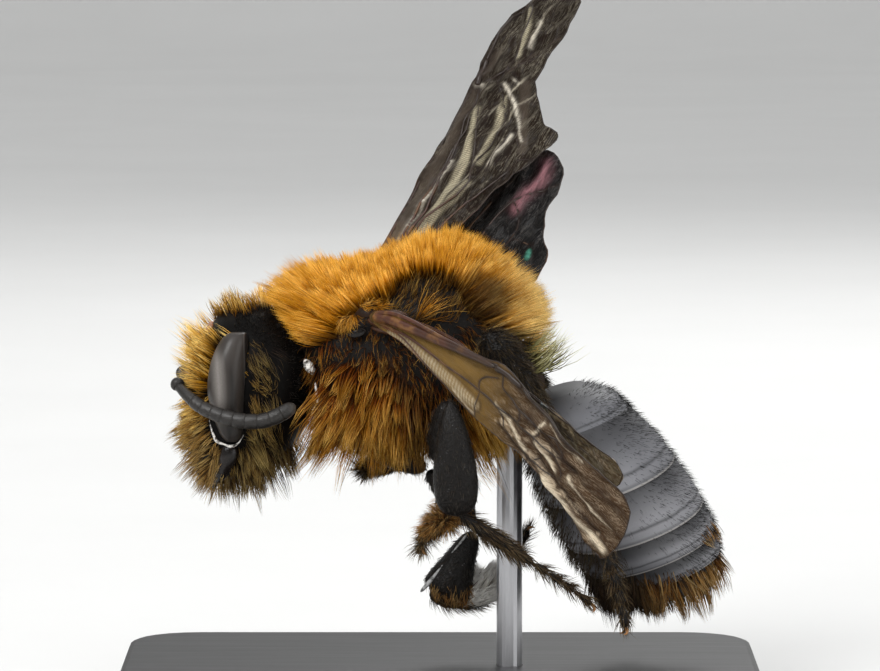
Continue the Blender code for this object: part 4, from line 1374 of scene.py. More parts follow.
# Each wing's glint is the range of fold tilt that takes the painted highlight, and its sheen the least share of that
# highlight with the paths where it is full
WINGS = {
    "forewing_left": {
        "placing": LEFT_WINGS, "offset": 0.0, "outline": LEFT_FORE_OUTLINE, "veins": LEFT_FORE_VEINS,
        "pleats": LEFT_FORE_PLEATS, "bands": LEFT_FORE_BANDS, "hollows": LEFT_FORE_HOLLOWS, "strips": [],
        "amber_end": 6.4, "crumpled": (0.22, 1.0, 4.4, 6.0), "glint": (0.17, 0.42),
        "sheen": (0.1, [([(5.0, 0.35), (6.2, 0.6), (7.2, 0.7)], 0.5),
                        ([(6.6, -0.06), (7.89, -0.3), (9.24, -0.5), (10.0, -0.55)], 0.28)]),
    },
    "hindwing_left": {
        "placing": LEFT_WINGS, "offset": -WING_STEP, "outline": LEFT_HIND_OUTLINE,
        "veins": LEFT_HIND_VEINS, "pleats": LEFT_HIND_PLEATS,
        "bands": [([(6.1, 1.28), (6.32, 1.32)], 0.07)], "hollows": [], "strips": [],
        "amber_end": 2.0, "crumpled": (0.3, 0.6, 3.0, 6.0), "glint": (0.2, 0.5), "sheen": (0.4, []),
    },
    "forewing_right": {
        "placing": RIGHT_WINGS, "offset": 0.0, "outline": RIGHT_FORE_OUTLINE, "veins": RIGHT_FORE_VEINS,
        "pleats": RIGHT_FORE_PLEATS, "bands": RIGHT_FORE_BANDS, "hollows": RIGHT_FORE_HOLLOWS,
        "strips": RIGHT_FORE_STRIPS, "amber_end": 2.6, "crumpled": (0.35, 1.5, 1.5, 4.5),
        "glint": (0.1, 0.3),
        "sheen": (0.1, [([(4.4, -0.6), (5.6, -0.5), (7.2, -0.1)], 0.72),
                        ([(8.0, 0.3), (9.5, 0.45)], 0.5)]),
    },
    "hindwing_right": {
        "placing": RIGHT_WINGS, "offset": -WING_STEP, "outline": RIGHT_HIND_OUTLINE,
        "veins": RIGHT_HIND_VEINS, "pleats": RIGHT_HIND_PLEATS,
        "bands": [([(3.48, -3.18), (3.34, -3.22)], 0.1)], "hollows": [], "strips": [],
        "amber_end": 0.5, "crumpled": (0.8, 1.4, 2.0, 4.0), "glint": (0.3, 0.6), "sheen": (0.9, []),
    },
}
# The small sclerites of a wing's hinge, each a path and a radius
WING_HINGE = [
    ([(-2.0, 2.66, 11.26), (-1.6, 2.86, 11.2), (-1.2, 3.02, 11.1)], 0.15),
    ([(-1.75, 2.58, 11.42), (-1.3, 2.78, 11.46), (-0.9, 2.92, 11.42)], 0.1),
    ([(-1.9, 2.56, 11.05), (-1.5, 2.74, 10.98), (-1.2, 2.86, 10.92)], 0.1),
]


def make_wings(looks):
    """The four wings and the small plates of their hinges."""
    for name, wing in WINGS.items():
        make_wing(name, wing, looks)
    for side, sign in SIDES:
        hinge = [round_rings(mirrored(path, sign), [size * 0.7, size, size * 0.6], 16, 12, 4)
                 for path, size in WING_HINGE]
        make_piece(f"wing_hinge_{side}", looks["hinge"], "shell", hinge)


# ---- legs

LEGS = {
    "fore_left": {
        "femur": ([(-2.1, -0.85, 7.6), (-1.2, -0.9, 7.25), (-0.4, -0.95, 6.95)], [0.3, 0.34, 0.24]),
        "tibia": ([(-0.34, -0.97, 6.9), (0.2, -1.05, 6.25), (0.48, -1.15, 5.6)], [0.2, 0.28, 0.3]),
        "tarsus": [(0.46, -1.17, 5.66), (0.12, -1.26, 5.52), (-0.22, -1.36, 5.32), (-0.46, -1.45, 4.98),
                   (-0.52, -1.5, 4.76)],
        "thick": 0.19,
    },
    "fore_right": {
        "femur": ([(-2.1, 0.85, 7.95), (-1.6, 0.88, 7.6), (-1.0, 0.9, 7.35)], [0.3, 0.34, 0.24]),
        "tibia": ([(-0.96, 0.89, 7.28), (-1.45, 0.72, 6.9), (-2.0, 0.52, 6.8)], [0.2, 0.26, 0.24]),
        "tarsus": [(-2.04, 0.5, 6.8), (-2.1, 0.28, 6.82), (-2.0, 0.1, 6.85), (-1.85, -0.1, 6.9)],
        "thick": 0.15,
    },
    "mid_left": {
        "femur": ([(-0.05, -1.8, 7.3), (0.1, -2.6, 8.2), (0.25, -3.22, 9.02)], [0.34, 0.4, 0.28]),
        "tibia": ([(0.28, -3.32, 9.08), (0.35, -3.28, 8.1), (0.42, -3.12, 7.0), (0.47, -2.88, 5.86)],
                  [0.2, 0.44, 0.62, 0.58]),
        "tarsus": [(0.52, -2.88, 5.92), (1.9, -2.65, 4.95), (3.1, -2.5, 4.15), (3.72, -2.45, 3.72),
                   (4.22, -2.42, 3.32)],
        "thick": 0.19,
    },
    "mid_right": {
        "femur": ([(0.1, 1.0, 8.2), (0.4, 0.95, 6.6), (0.9, 0.9, 5.1)], [0.32, 0.34, 0.24]),
        "tibia": ([(0.96, 0.9, 4.95), (0.5, 0.95, 4.0), (0.12, 1.0, 3.12)], [0.24, 0.5, 0.84]),
        "tarsus": [(-0.3, 1.05, 3.2), (0.4, 1.3, 3.02), (1.29, 1.5, 3.12), (1.9, 1.7, 3.8),
                   (2.48, 1.85, 4.92)],
        "thick": 0.3,
    },
    "hind_left": {
        "femur": ([(1.65, -1.9, 8.1), (1.5, -2.5, 9.3), (1.3, -2.88, 10.25)], [0.36, 0.48, 0.36]),
        "tibia": ([(1.14, -3.02, 10.84), (1.52, -3.1, 10.55), (2.05, -3.18, 9.85), (2.75, -3.24, 8.7),
                   (3.44, -3.25, 7.44)], [0.36, 0.5, 0.42, 0.3, 0.28]),
        "tarsus": [(3.48, -3.25, 7.35), (4.05, -3.2, 6.1), (4.62, -3.12, 4.79), (4.95, -3.08, 3.7),
                   (5.13, -3.02, 2.74)],
        "thick": 0.3,
    },
    "hind_right": {
        "femur": ([(1.65, 1.9, 8.1), (1.7, 2.6, 9.2), (1.76, 3.0, 10.18)], [0.36, 0.54, 0.54]),
        "tibia": ([(1.86, 3.06, 10.14), (2.75, 3.25, 8.6), (3.6, 3.4, 6.98)], [0.34, 0.42, 0.4]),
        "tarsus": [(3.66, 3.42, 6.88), (4.3, 3.4, 5.8), (5.0, 3.3, 4.6), (5.35, 3.2, 3.8),
                   (5.58, 3.1, 3.08)],
        "thick": 0.29,
    },
}
# Where the long first foot joint ends and the four short ones follow, as fractions of the foot
FOOT_JOINTS = [0.0, 0.56, 0.67, 0.77, 0.86, 1.0]
LONG_JOINT = np.array([0.72, 1.0, 1.05, 0.98, 0.7])
SHORT_JOINT = np.array([0.55, 0.8, 1.0, 1.1, 0.85])
# A claw's places onward, to the side and down from the foot's tip
CLAW = [(0.0, 0.0, 0.0), (0.1, 0.08, 0.0), (0.17, 0.13, 0.06), (0.17, 0.15, 0.15)]
PALE_EDGE = [(0.76, 0.72, 4.92), (0.1, 0.74, 4.02), (-0.55, 0.8, 3.26)]


def make_leg(name, leg, looks):
    """One leg: thigh, shin, long foot joint, four short ones and two claws. Returns its hair grounds."""
    body = Body()
    grounds = {"tarsus": []}
    for part in ("femur", "tibia"):
        path, radii = leg[part]
        deep = [min(radius * 0.86, 0.42) for radius in radii]
        rings = oval_rings(path, radii, deep, 34, 28, up=(0.2, 1.0, 0.1), rounding=7)
        body.add_rings(rings)
        grounds[part] = Skin(rings)
    for number, (start, end) in enumerate(zip(FOOT_JOINTS, FOOT_JOINTS[1:])):
        points = along_curve(leg["tarsus"], np.linspace(start + 0.004, end - 0.006, 5))
        radii = leg["thick"] * (0.62 - 0.05 * number) * SHORT_JOINT if number else leg["thick"] * LONG_JOINT
        rings = oval_rings(points, radii, radii * 0.75, 16, 16, up=(0.2, 1.0, 0.1), rounding=8)
        body.add_rings(rings)
        grounds["tarsus"].append(Skin(rings))
    ends = along_curve(leg["tarsus"], [0.9, 1.0])
    onward = unit(ends[1] - ends[0])
    tip = ends[1] - onward * 0.05
    side = unit(np.cross(onward, (0.0, 0.0, 1.0)))
    down = np.cross(side, onward) * -1.0
    for sign in (-1.0, 1.0):
        hook = [tip + onward * ahead + side * aside * sign + down * below for ahead, aside, below in CLAW]
        body.add_rings(round_rings(hook, [0.045, 0.042, 0.03, 0.01], 14, 10), 1)
    # A pale grey rod along the front edge of the far mid shin
    if name == "mid_right":
        make_piece("leg_mid_right_edge", looks["silver"], "legs",
                   [round_rings(PALE_EDGE, [0.035, 0.055, 0.065], 30, 10)])
    nodes = [f"leg_{name}_{part}" for part in ("femur", "tibia", "tarsus")]
    place_piece(body.build(f"leg_{name}_shell", looks["leg"], looks["claw"]), "legs", *nodes)
    return grounds


# ---- the coat

def between(low, high, value, soft):
    """1 inside a range and 0 outside it, with soft sides."""
    return ease(low - soft, low + soft, value) * ease(high + soft, high - soft, value)


def oval(x, z, middle, level, wide, high, turn=0.0):
    """1 inside a tilted oval of the side view and 0 outside it, with soft edges."""
    across = x - middle
    rise = z - level
    a = across * math.cos(turn) + rise * math.sin(turn)
    b = rise * math.cos(turn) - across * math.sin(turn)
    return np.exp(-((a / wide) ** 2 + (b / high) ** 2) ** 2)


# Lower edge of the thorax's golden back, and front edge of the bare side over the mid leg
BACK_EDGE = [
    (-3.6, 10.3), (-3.47, 10.34), (-2.88, 10.56), (-2.5, 10.9), (-2.07, 11.32), (-1.6, 11.5),
    (-1.32, 11.66), (-1.12, 12.04), (-0.7, 12.22), (0.0, 12.24), (0.4, 12.02), (0.62, 11.5),
    (0.95, 11.1), (1.5, 10.8), (2.2, 10.62), (3.0, 10.55),
]
SOCKET_EDGE = [(7.4, -0.35), (8.1, -0.42), (8.97, -0.6), (10.0, -1.12), (11.0, -1.85)]
# The ovals of the side view that hold the simple eyes and the dusky place over the mid leg's socket, where the hair is
# darkened as painted shade
SIMPLE_EYES = (-6.42, 10.75, 0.42, 0.36)
OVER_SOCKET = (-1.2, 10.4, 0.6, 0.8)


def over_back_edge(x, y, z):
    """1 above the lower edge of the golden back; the middle of the back always counts as above it."""
    edge = np.interp(x, *np.transpose(BACK_EDGE))
    return np.maximum(ease(0.0, 0.22, z - edge), ease(1.3, 0.9, np.abs(y)))


def bare_patches(x, y, z):
    """1 where the thorax shows its shell: round the wing root, above the mid leg and at the neck."""
    side = ease(1.2, 1.7, np.abs(y))
    wing_root = (1.0 - over_back_edge(x, y, z)) * ease(10.3, 10.6, z - 0.15 * x) * ease(1.7, 1.2, x)
    socket = ease(-0.1, 0.25, x - np.interp(z, *np.transpose(SOCKET_EDGE)))
    socket = socket * ease(0.8, 0.45, x) * ease(11.3, 10.9, z)
    neck = ease(-2.85, -3.35, x) * ease(10.5, 10.0, z)
    return np.clip(side * (wing_root + socket) + neck, 0.0, 1.0)


def above_collar(x, z):
    """Height over the slanting lower edge of the collar, behind the head."""
    return z - 10.34 + (x + 3.46) * 0.974


def behind_knee(x, z):
    """1 on the patch of the flank that the hind leg's knee covers, whose hair is thinned and, on the flank, darkened
    as painted shade.
    """
    return ease(1.0, 1.5, x) * ease(11.0, 10.55, z)


def over_leg(x, z):
    """1 on the dusky stretch of the flank in front of the mid leg, where the hair is thinned and darkened as painted
    shade.
    """
    return between(-1.05, -0.05, x, 0.25) * ease(10.4, 9.8, z)


def near_eye(x, y, z):
    """1 over the eye, whose ring of bare shell is narrower at the rear."""
    across = x - EYE_CENTRE[0]
    gap = (across / np.where(across > 0.0, 0.47, 0.74)) ** 2 + ((z - EYE_CENTRE[2]) / 1.6) ** 2
    return ease(1.35, 0.95, gap) * ease(1.2, 1.6, np.abs(y))


def grow_back(coat, skin):
    """The golden back and collar: dense upright hair that parts over the sides and pales to the rear."""
    def on_top(x, y, z, out):
        front = 1.0 - ease(0.3, 0.05, above_collar(x, z)) * ease(-2.7, -3.1, x)
        return ease(10.1, 10.3, z) * over_back_edge(x, y, z) * front * (1.0 - 0.95 * behind_knee(x, z))

    roots = skin.roots(46000, coat.rng, on_top)
    x, y, z = roots.place.T
    away = unit(vectors(x + 0.9, 0.0, z - 10.3))
    side = ease(0.85, 0.45, roots.out[:, 2])
    front = ease(-2.2, -3.5, x)
    rise = (roots.out * (1.0 - 0.3 * side)[:, None] + away * (0.22 + 0.55 * side)[:, None]
            + np.array([-0.5, 0.0, 0.15]) * front[:, None] + coat.ruffle(roots, 0.13))
    fall = rise + away * (0.1 + 0.45 * side)[:, None] - [0.0, 0.0, 0.1]
    length = 0.78 + 0.08 * ease(-1.5, 0.2, x) + 0.34 * side + 0.3 * front
    length = length * coat.within(roots, 0.58, 1.12)
    collar = ease(-2.9, -3.3, x) * ease(0.9, 0.2, above_collar(x, z))
    length *= 1 - 0.5 * collar
    straw = ease(0.9, 2.2, x + 0.3 * coat.rng.normal(size=len(x))) * 0.9
    # A darker patch of hair on the back's sides behind the wing root
    darker_patch = oval(x, z, 0.8, 11.45, 0.62, 0.62, -0.4) * ease(1.2, 1.8, np.abs(y))
    dark = np.clip(0.85 * darker_patch + coat.strays(roots, 0.12, 0.55), 0, 1)
    coat.grow("coat_back", "thorax_hair", roots, rise, fall, length, (0.018, 0.03), 2, straw, dark,
              clump=0.55, locks=1300, wave=0.03, uneven=0.18)


def grow_flanks(coat, skin):
    """The rust flanks: hanging locks with gold ends, longest at the front and gold toward the rear, with painted shade
    by the hind knee, over the mid leg's socket and in front of the mid leg.
    """
    def on_flank(x, y, z, out):
        front_end = ease(-3.55, -2.75, x + 0.18 * (10.0 - z))
        return (ease(0.35, 0.0, out[..., 2]) * ease(-0.92, -0.6, out[..., 2]) * ease(2.7, 2.3, x)
                * (1.0 - 0.985 * bare_patches(x, y, z)) * front_end * (1.0 - 0.75 * behind_knee(x, z))
                * (1.0 - 0.45 * ease(9.2, 9.9, z)) * (1.0 - 0.55 * over_leg(x, z)))

    roots = skin.roots(7000, coat.rng, on_flank)
    x, y, z = roots.place.T
    fan = vectors(0.17 * (x + 1.1), 0.0, -0.5)
    rise = roots.out * 0.8 + fan + coat.ruffle(roots, 0.15)
    fall = roots.out * 0.15 + fan * [1.5, 1.0, 1.9] + coat.ruffle(roots, 0.12)
    down_to_hem = np.maximum(z - 6.1, 0.4)
    length = np.minimum(0.95 + (0.55 + 0.25 * ease(-0.5, 1.0, x)) * ease(10.4, 8.6, z), down_to_hem)
    dusky = oval(x, z, *OVER_SOCKET)
    length *= coat.within(roots, 0.62, 1.15) * (1 - 0.6 * dusky) * (1 - 0.5 * behind_knee(x, z))
    golden = ease(0.2, 1.6, x) * 0.75
    stray = coat.strays(roots, 0.16, 1.0) * coat.within(roots, 0.5, 1.0)
    # Painted shade: hair darkened where the hind knee covers the flank, over the mid leg's socket and in front of the
    # mid leg
    dark = np.clip(stray + 0.9 * behind_knee(x, z) + 0.75 * dusky + 0.65 * over_leg(x, z), 0.0, 1.0)
    coat.grow("coat_flanks", "flank_hair", roots, rise, fall, length, (0.018, 0.03), 3, golden, dark,
              clump=0.92, locks=360, wave=0.06, uneven=0.3)


def grow_thin(coat, skin):
    """Sparse hair over the bare patches, which rises at the wing root and hangs below it."""
    def on_bare(x, y, z, out):
        return bare_patches(x, y, z) * ease(0.95, 0.8, out[..., 2]) * ease(0.8, 1.2, np.abs(y))

    roots = skin.roots(2900, coat.rng, on_bare)
    upper = ease(10.9, 11.3, roots.place[:, 2])
    rise = roots.out * 0.8 + coat.ruffle(roots, 0.3) + vectors(0.15 + 0.5 * upper, 0.0, upper - 0.4)
    fall = rise + vectors(0.2, 0.0, upper - 0.6)
    dusky = (0.3 + 0.1 * upper) + 0.5 * coat.rng.random(len(roots))
    coat.grow("coat_thin", "flank_hair", roots, rise, fall, (0.25, 0.75), (0.016, 0.024), 3,
              0.5 * upper, dusky.clip(0.0, 1.0), clump=0.5, locks=260, wave=0.06, uneven=0.3)


# Small tufts of the sides: sides of the bee, path along the shell, amount, push and range of length
SHOULDER_PATH = [(-2.25, 2.52, 11.62), (-1.95, 2.6, 11.68), (-1.55, 2.58, 11.58)]
LAPPET_PATH = [(-2.8, 2.16, 11.2), (-2.55, 2.34, 11.26), (-2.3, 2.44, 11.44)]
SIDE_TUFTS = [
    ("wisp", SIDES[:1], [(-0.72, 2.44, 11.2), (-0.56, 2.46, 11.3), (-0.44, 2.44, 11.4)], 34,
     (0.8, 0.25, 0.66), (0.7, 1.3)),
    ("shoulder", SIDES, SHOULDER_PATH, 110, (0.55, 0.5, 0.15), (0.26, 0.5)),
    ("lappet", SIDES, LAPPET_PATH, 190, (-0.1, 0.7, -0.55), (0.32, 0.6)),
]


def thorax_coat(skin, looks):
    """The thorax's hair, with the small tufts of its sides."""
    coat = Coat(looks, "thorax_hair", 11)
    grow_back(coat, skin)
    grow_flanks(coat, skin)
    grow_thin(coat, skin)

    def below(x, y, z, out):
        return ease(-0.35, -0.8, out[..., 2]) * ease(1.0, 1.5, np.abs(y)) * ease(2.6, 2.0, x)

    def at_waist(x, y, z, out):
        return ease(2.15, 2.4, x) * between(9.55, 10.35, z, 0.12)

    coat.patch("coat_below", "flank_hair", skin, 2600, below, 0.5, [0.05, 0.0, -0.8], 0.15,
               [0.25, 0.0, -0.4], (0.7, 1.25), (0.022, 0.034), 0.3, 0.25, clump=0.7, locks=160, wave=0.04)
    coat.patch("coat_waist", "waist_hair", skin, 190, at_waist, 0.25, [0.85, 0.0, 0.4], 0.24,
               [0.0, 0.0, 0.7], (0.8, 1.5), (0.03, 0.042), 0.0, (0.2, 0.8),
               clump=0.3, locks=40, wave=0.08, uneven=0.2)
    for tuft, sides, path, amount, push, length in SIDE_TUFTS:
        for side, sign in sides:
            ground = Skin(round_rings(mirrored(path, sign), [0.06, 0.07, 0.05], 10, 10))
            coat.patch(f"coat_{tuft}_{side}", "thorax_hair", ground, amount, None, 0.3,
                       np.array(push) * [1.0, sign, 1.0], 0.3, [0.2, 0.0, -0.1], length, (0.018, 0.026),
                       0.1, (0.25, 0.7), clump=0.25, locks=9, wave=0.08, uneven=0.2)


def grow_face(coat, skin):
    """Ochre hair of the face, which stands up above the feelers and hangs grey-brown below them."""
    def on_face(x, y, z, out):
        sockets = np.exp(-(((np.abs(y) - 0.5) / 0.2) ** 2 + ((z - 8.88) / 0.2) ** 2))
        clypeus = oval(x, z, -6.75, 7.3, 0.55, 0.55) * ease(1.6, 1.2, np.abs(y))
        simple_eyes = oval(x, z, *SIMPLE_EYES) * ease(1.1, 0.8, np.abs(y))
        return (ease(-0.05, -0.45, out[..., 0]) * (1 - near_eye(x, y, z)) * (1 - 0.8 * sockets)
                * ease(10.8, 10.4, z) * (1 - 0.5 * clypeus) * (1 - simple_eyes))

    roots = skin.roots(5000, coat.rng, on_face)
    x, y, z = roots.place.T
    upper = ease(8.6, 9.8, z)
    rise = (roots.out * 0.75 + vectors(-0.3, 0.05 * np.sign(y), 0.95 * upper - 0.28)
            + coat.ruffle(roots, 0.18))
    fall = rise + vectors(0.0, 0.0, 0.55 * upper - 0.6)
    length = ((0.66 + 0.22 * upper) * coat.within(roots, 0.4, 1.2)
              * (1 - 0.35 * ease(1.2, 1.9, np.abs(y))))
    grey = 0.85 * (1.0 - ease(7.7, 9.2, z + 0.4 * coat.rng.normal(size=len(z))))
    coat.grow("coat_face", "face_hair", roots, rise, fall, length, (0.016, 0.027), 3, grey, (0.2, 0.8),
              clump=0.8, locks=300, wave=0.05, uneven=0.38)


def grow_cheeks(coat, skin):
    """Dull brown hair of the cheeks: a thin strip behind the eye and a hanging beard below it."""
    def on_cheek(x, y, z, out):
        strip = (0.55 * ease(-5.5, -5.35, x) * ease(-4.3, -5.1, x - 0.1 * (9.5 - z)) ** 1.5
                 * between(7.4, 10.6, z, 0.25) * ease(1.1, 1.4, np.abs(y)))
        beard = ease(8.0, 7.3, z) * ease(-6.4, -5.9, x) * (1.0 - 0.5 * ease(-5.3, -4.9, x))
        jaw = np.maximum(oval(x, z, -5.8, 7.1, 0.48, 0.85), oval(x, z, -5.35, 6.7, 0.5, 0.4))
        jaw = jaw * ease(0.6, 0.9, np.abs(y))
        chin = ease(0.9, 0.4, np.abs(y)) * ease(-6.3, -5.9, x)
        return (strip + beard * (1 - 0.7 * chin)) * (1 - near_eye(x, y, z)) * (1 - 0.75 * jaw)

    roots = skin.roots(3800, coat.rng, on_cheek)
    x, y, z = roots.place.T
    lower = ease(8.2, 7.2, z)
    rise = (roots.out * (0.55 + 0.1 * lower)[:, None] + coat.ruffle(roots, 0.18)
            + vectors(0.5 - 0.3 * lower, 0.0, -0.75))
    fall = rise + vectors(0.15, 0.0, -0.5 - 0.3 * lower)
    length = (0.62 + 0.18 * lower) * coat.within(roots, 0.35, 1.25)
    # Stray dark hairs, darker hair toward the top, and painted shade toward the rear of the cheek, by the gap behind
    # the head
    dark = coat.strays(roots, 0.3, 0.8) + 0.6 * ease(9.4, 10.6, z) + 0.45 * ease(-5.1, -4.6, x)
    coat.grow("coat_cheeks", "cheek_hair", roots, rise, fall, length, (0.014, 0.024), 3, 0.3 * lower,
              dark.clip(0.0, 1.0), clump=0.85, locks=200, wave=0.06, uneven=0.4)


def face_coat(skin, looks):
    """The head's hair: face, crest, forelock, black nape and cheeks."""
    coat = Coat(looks, "face_hair", 12)
    grow_face(coat, skin)

    def on_crest(x, y, z, out):
        return (ease(10.75, 11.1, z) * ease(-4.9, -5.4, x)
                * ease(1.2, 0.7, np.abs(y) + 0.6 * ease(-5.6, -6.2, x)) * (1 - oval(x, z, *SIMPLE_EYES)))

    def on_forelock(x, y, z, out):
        return oval(x, z, -5.02, 11.35, 0.22, 0.4) * ease(0.6, 0.3, np.abs(y))

    def on_nape(x, y, z, out):
        rear = np.maximum(ease(10.2, 10.6, z) * ease(-5.9, -5.5, x), ease(-4.3, -4.0, x))
        return rear * ease(-0.5, 0.0, out[..., 2])

    coat.patch("coat_crest", "face_hair", skin, 400, on_crest, 0.5, [-0.15, 0.0, 0.9], 0.25,
               [-0.3, 0.0, -0.1], (0.3, 0.62), (0.018, 0.028), 0.35, (0.35, 0.7),
               clump=0.6, locks=50, wave=0.05, uneven=0.25)
    coat.patch("coat_forelock", "thorax_hair", skin, 110, on_forelock, 0.0, [-0.25, 0.0, 1.0], 0.2,
               [0.0, 0.0, 0.0], (0.45, 0.85), (0.02, 0.028), 0.5,
               clump=0.7, locks=8, wave=0.03, uneven=0.2)
    coat.patch("coat_nape", "black_hair", skin, 3600, on_nape, 1.0, [0.0, 0.0, 0.0], 0.35,
               [0.1, 0.0, -0.2], (0.08, 0.24), (0.016, 0.026), 0.1, 0.5, 2, clump=0.3, locks=300)
    grow_cheeks(coat, skin)


def abdomen_coat(skins, looks):
    """Sparse black bristles on the back, dark hair below and at the sides, and the tail's fringe, which is darkened on
    the belly side as painted shade.
    """
    coat = Coat(looks, "abdomen_plates", 13)
    rng = coat.rng

    def facing_back(out):
        """How far the skin faces the slanting abdomen's back, from -1 to 1."""
        return out[..., 0] + 0.3 * out[..., 2]

    bristles, below, fringe = [], [], []
    for number, skin in enumerate(skins[:5]):
        cell = (number % 3, number // 3, 3)
        back = skin.roots(1000, rng, lambda x, y, z, out: ease(-0.2, 1.0, facing_back(out)) ** 1.5)
        bristles.append(back.in_cell(*cell))
        under = skin.roots(700 if number else 250, rng,
                           lambda x, y, z, out: ease(-0.25, -0.6, facing_back(out)))
        below.append(under.in_cell(*cell))
    roots = merged(bristles)
    rise = roots.out * 0.8 + roots.onward * 0.55 + coat.ruffle(roots, 0.12)
    coat.grow("coat_bristles", "black_hair", roots, rise, rise + roots.onward * 0.4,
              (0.08, 0.3), (0.009, 0.014), 2, 0.0, 0.5)
    roots = merged(below)
    rise = roots.out * 0.7 + roots.onward * 0.6 + coat.ruffle(roots, 0.15)
    coat.grow("coat_belly", "black_hair", roots, rise, rise + roots.onward * 0.6,
              (0.25, 0.6), (0.016, 0.024), 3, 0.5, 0.2, clump=0.4, locks=220, wave=0.04)

    fringe.append(skins[4].roots(1500, rng, lambda x, y, z, out: ease(4.3, 3.6, z)).in_cell(0, 0, 2))
    fringe.append(skins[5].roots(1500, rng, lambda x, y, z, out: 1.0).in_cell(1, 0, 2))
    back_tuft = skins[3].roots(70, rng, lambda x, y, z, out: ease(0.75, 0.95, facing_back(out))
                               * between(4.9, 5.4, z, 0.15))
    fringe.append(back_tuft.in_cell(0, 1, 2))
    roots = merged(fringe)
    rise = (roots.out * 0.5 + roots.onward * 0.6 + [0.1, 0.0, -0.45] + coat.ruffle(roots, 0.16))
    length = coat.within(roots, 0.5, 1.15)
    length[-len(back_tuft):] *= 0.6
    down_to_hem = np.maximum(roots.place[:, 2] - 2.62, 0.15) * 1.15
    # Painted shade: fringe hair on the belly side is darkened
    belly = ease(-0.1, -0.5, facing_back(roots.out))
    width = coat.within(roots, 0.02, 0.03)
    tone = coat.strays(roots, 0.3, 0.7)
    dark = np.maximum(coat.strays(roots, 0.26, 0.9), belly)
    coat.grow("coat_tail", "tail_hair", roots, rise, rise + [0.1, 0.0, -0.45],
              np.minimum(length, down_to_hem), width, 3, tone, dark,
              clump=0.85, locks=150, wave=0.04, uneven=0.28, slot="tail_fringe")


def leg_roots(legs, rng):
    """Where the legs' hair grows: dark pile, feet, shaggy hind shins and velvet hind knees and thighs.

    Each ground has its own cell of a square of six by six on the unwrap.
    """
    groups = {"legs": [], "feet": [], "shins": [], "knees": []}
    for number, (name, grounds) in enumerate(legs.items()):
        column, row = number % 3, number // 3
        hind = name.startswith("hind")
        for part, amount, shift in (("femur", 600, 0), ("tibia", 900, 2)):
            if hind and part == "tibia":
                knee = grounds[part].roots(2600, rng, lambda x, y, z, out: ease(8.4, 9.4, z))
                groups["knees"].append(knee.in_cell(column + 3, row, 6))
                groups["shins"].append(grounds[part].roots(1300, rng).in_cell(column, row + shift, 6))
            else:
                ground = grounds[part].roots(amount, rng).in_cell(column, row + shift, 6)
                groups["knees" if hind else "legs"].append(ground)
        for joint, ground in enumerate(grounds["tarsus"]):
            roots = ground.roots(700 if joint == 0 else 110, rng)
            groups["feet"].append(roots.in_cell(column + (3 if joint else 0), row + 4 * (joint > 2), 6))
    return groups


def leg_coat(legs, looks):
    """Short black pile on thighs and shins, velvet on the hind knees, brown hair on the feet and tufts."""
    coat = Coat(looks, "legs", 14)
    rng = coat.rng
    groups = leg_roots(legs, rng)
    for group, look, low, high, lean, drop in (
            ("legs", "leg_hair", 0.1, 0.22, 0.9, 0.25), ("feet", "foot_hair", 0.26, 0.6, 1.1, 0.35),
            ("shins", "shin_hair", 0.28, 0.62, 0.8, 0.1), ("knees", "black_hair", 0.12, 0.26, 0.15, 0.0)):
        roots = merged(groups[group])
        rise = roots.out * 0.7 + roots.onward * lean + coat.ruffle(roots, 0.14)
        length = coat.within(roots, low, high)
        width = coat.within(roots, 0.014, 0.024)
        coat.grow(f"coat_{group}", look, roots, rise, rise + roots.onward * 0.4 - [0.0, 0.0, drop],
                  length, width, 3, rng.random(len(roots)) * 0.6, (0.3, 0.8),
                  clump=0.35, locks=len(roots) // 12, wave=0.05, uneven=0.15)

    shin_end = legs["fore_left"]["tibia"].roots(300, rng, lambda x, y, z, out: ease(6.1, 5.8, z))
    ball = [shin_end.in_cell(0, 0, 3)]
    for joint, amount in enumerate((1500, 260, 160, 90, 40)):
        roots = legs["fore_left"]["tarsus"][joint].roots(amount, rng)
        ball.append(roots.in_cell(joint % 3, 1 + joint // 3, 3))
    roots = merged(ball)
    away = unit(roots.place - [0.1, -1.28, 5.36]) * 0.7 + roots.out * 0.7
    rise = away + [-0.15, 0.0, 0.25] + coat.ruffle(roots, 0.22)
    length = coat.within(roots, 0.3, 0.56) * (0.25 + 0.75 * ease(4.95, 5.25, roots.place[:, 2]))
    width = coat.within(roots, 0.016, 0.026)
    coat.grow("coat_fore_foot", "ball_hair", roots, rise, away + [-0.25, -0.1, -0.9], length, width, 4,
              rng.random(len(roots)) * 0.5, (0.25, 0.9), clump=0.35, locks=120, wave=0.1, uneven=0.2)

    far_mid = legs["mid_right"]
    coat.patch("coat_mid_hem", "ball_hair", far_mid["tibia"], 260, lambda x, y, z, out: ease(3.6, 3.2, z),
               0.4, [-0.15, -0.2, -0.6], 0.2, [0.2, 0.0, -0.2], (0.2, 0.42), (0.014, 0.022), 0.6, 0.2,
               clump=0.5, locks=20, wave=0.06)
    coat.patch("coat_pale_brush", "pale_hair", far_mid["tarsus"][0], 2500,
               lambda x, y, z, out: ease(0.5, 0.8, x), 0.45, [0.25, -0.35, 0.7], 0.08,
               [0.5, 0.0, 0.1], (0.5, 0.95), (0.042, 0.056), 0.0, (0.04, 0.9),
               clump=0.6, locks=26, wave=0.03)


# ---- studio

# Rings of the paper from its middle outward: radius and height. It bends up all round the stand.
BEND = np.linspace(0.0, math.pi / 2, 14)
PAPER_REACH = np.concatenate([[150.0, 300.0], 420.0 + 180.0 * np.sin(BEND), [600.0]])
PAPER_RISE = np.concatenate([[0.0, 0.0], 180.0 - 180.0 * np.cos(BEND), [620.0]])
PAPER_SIDES = 72
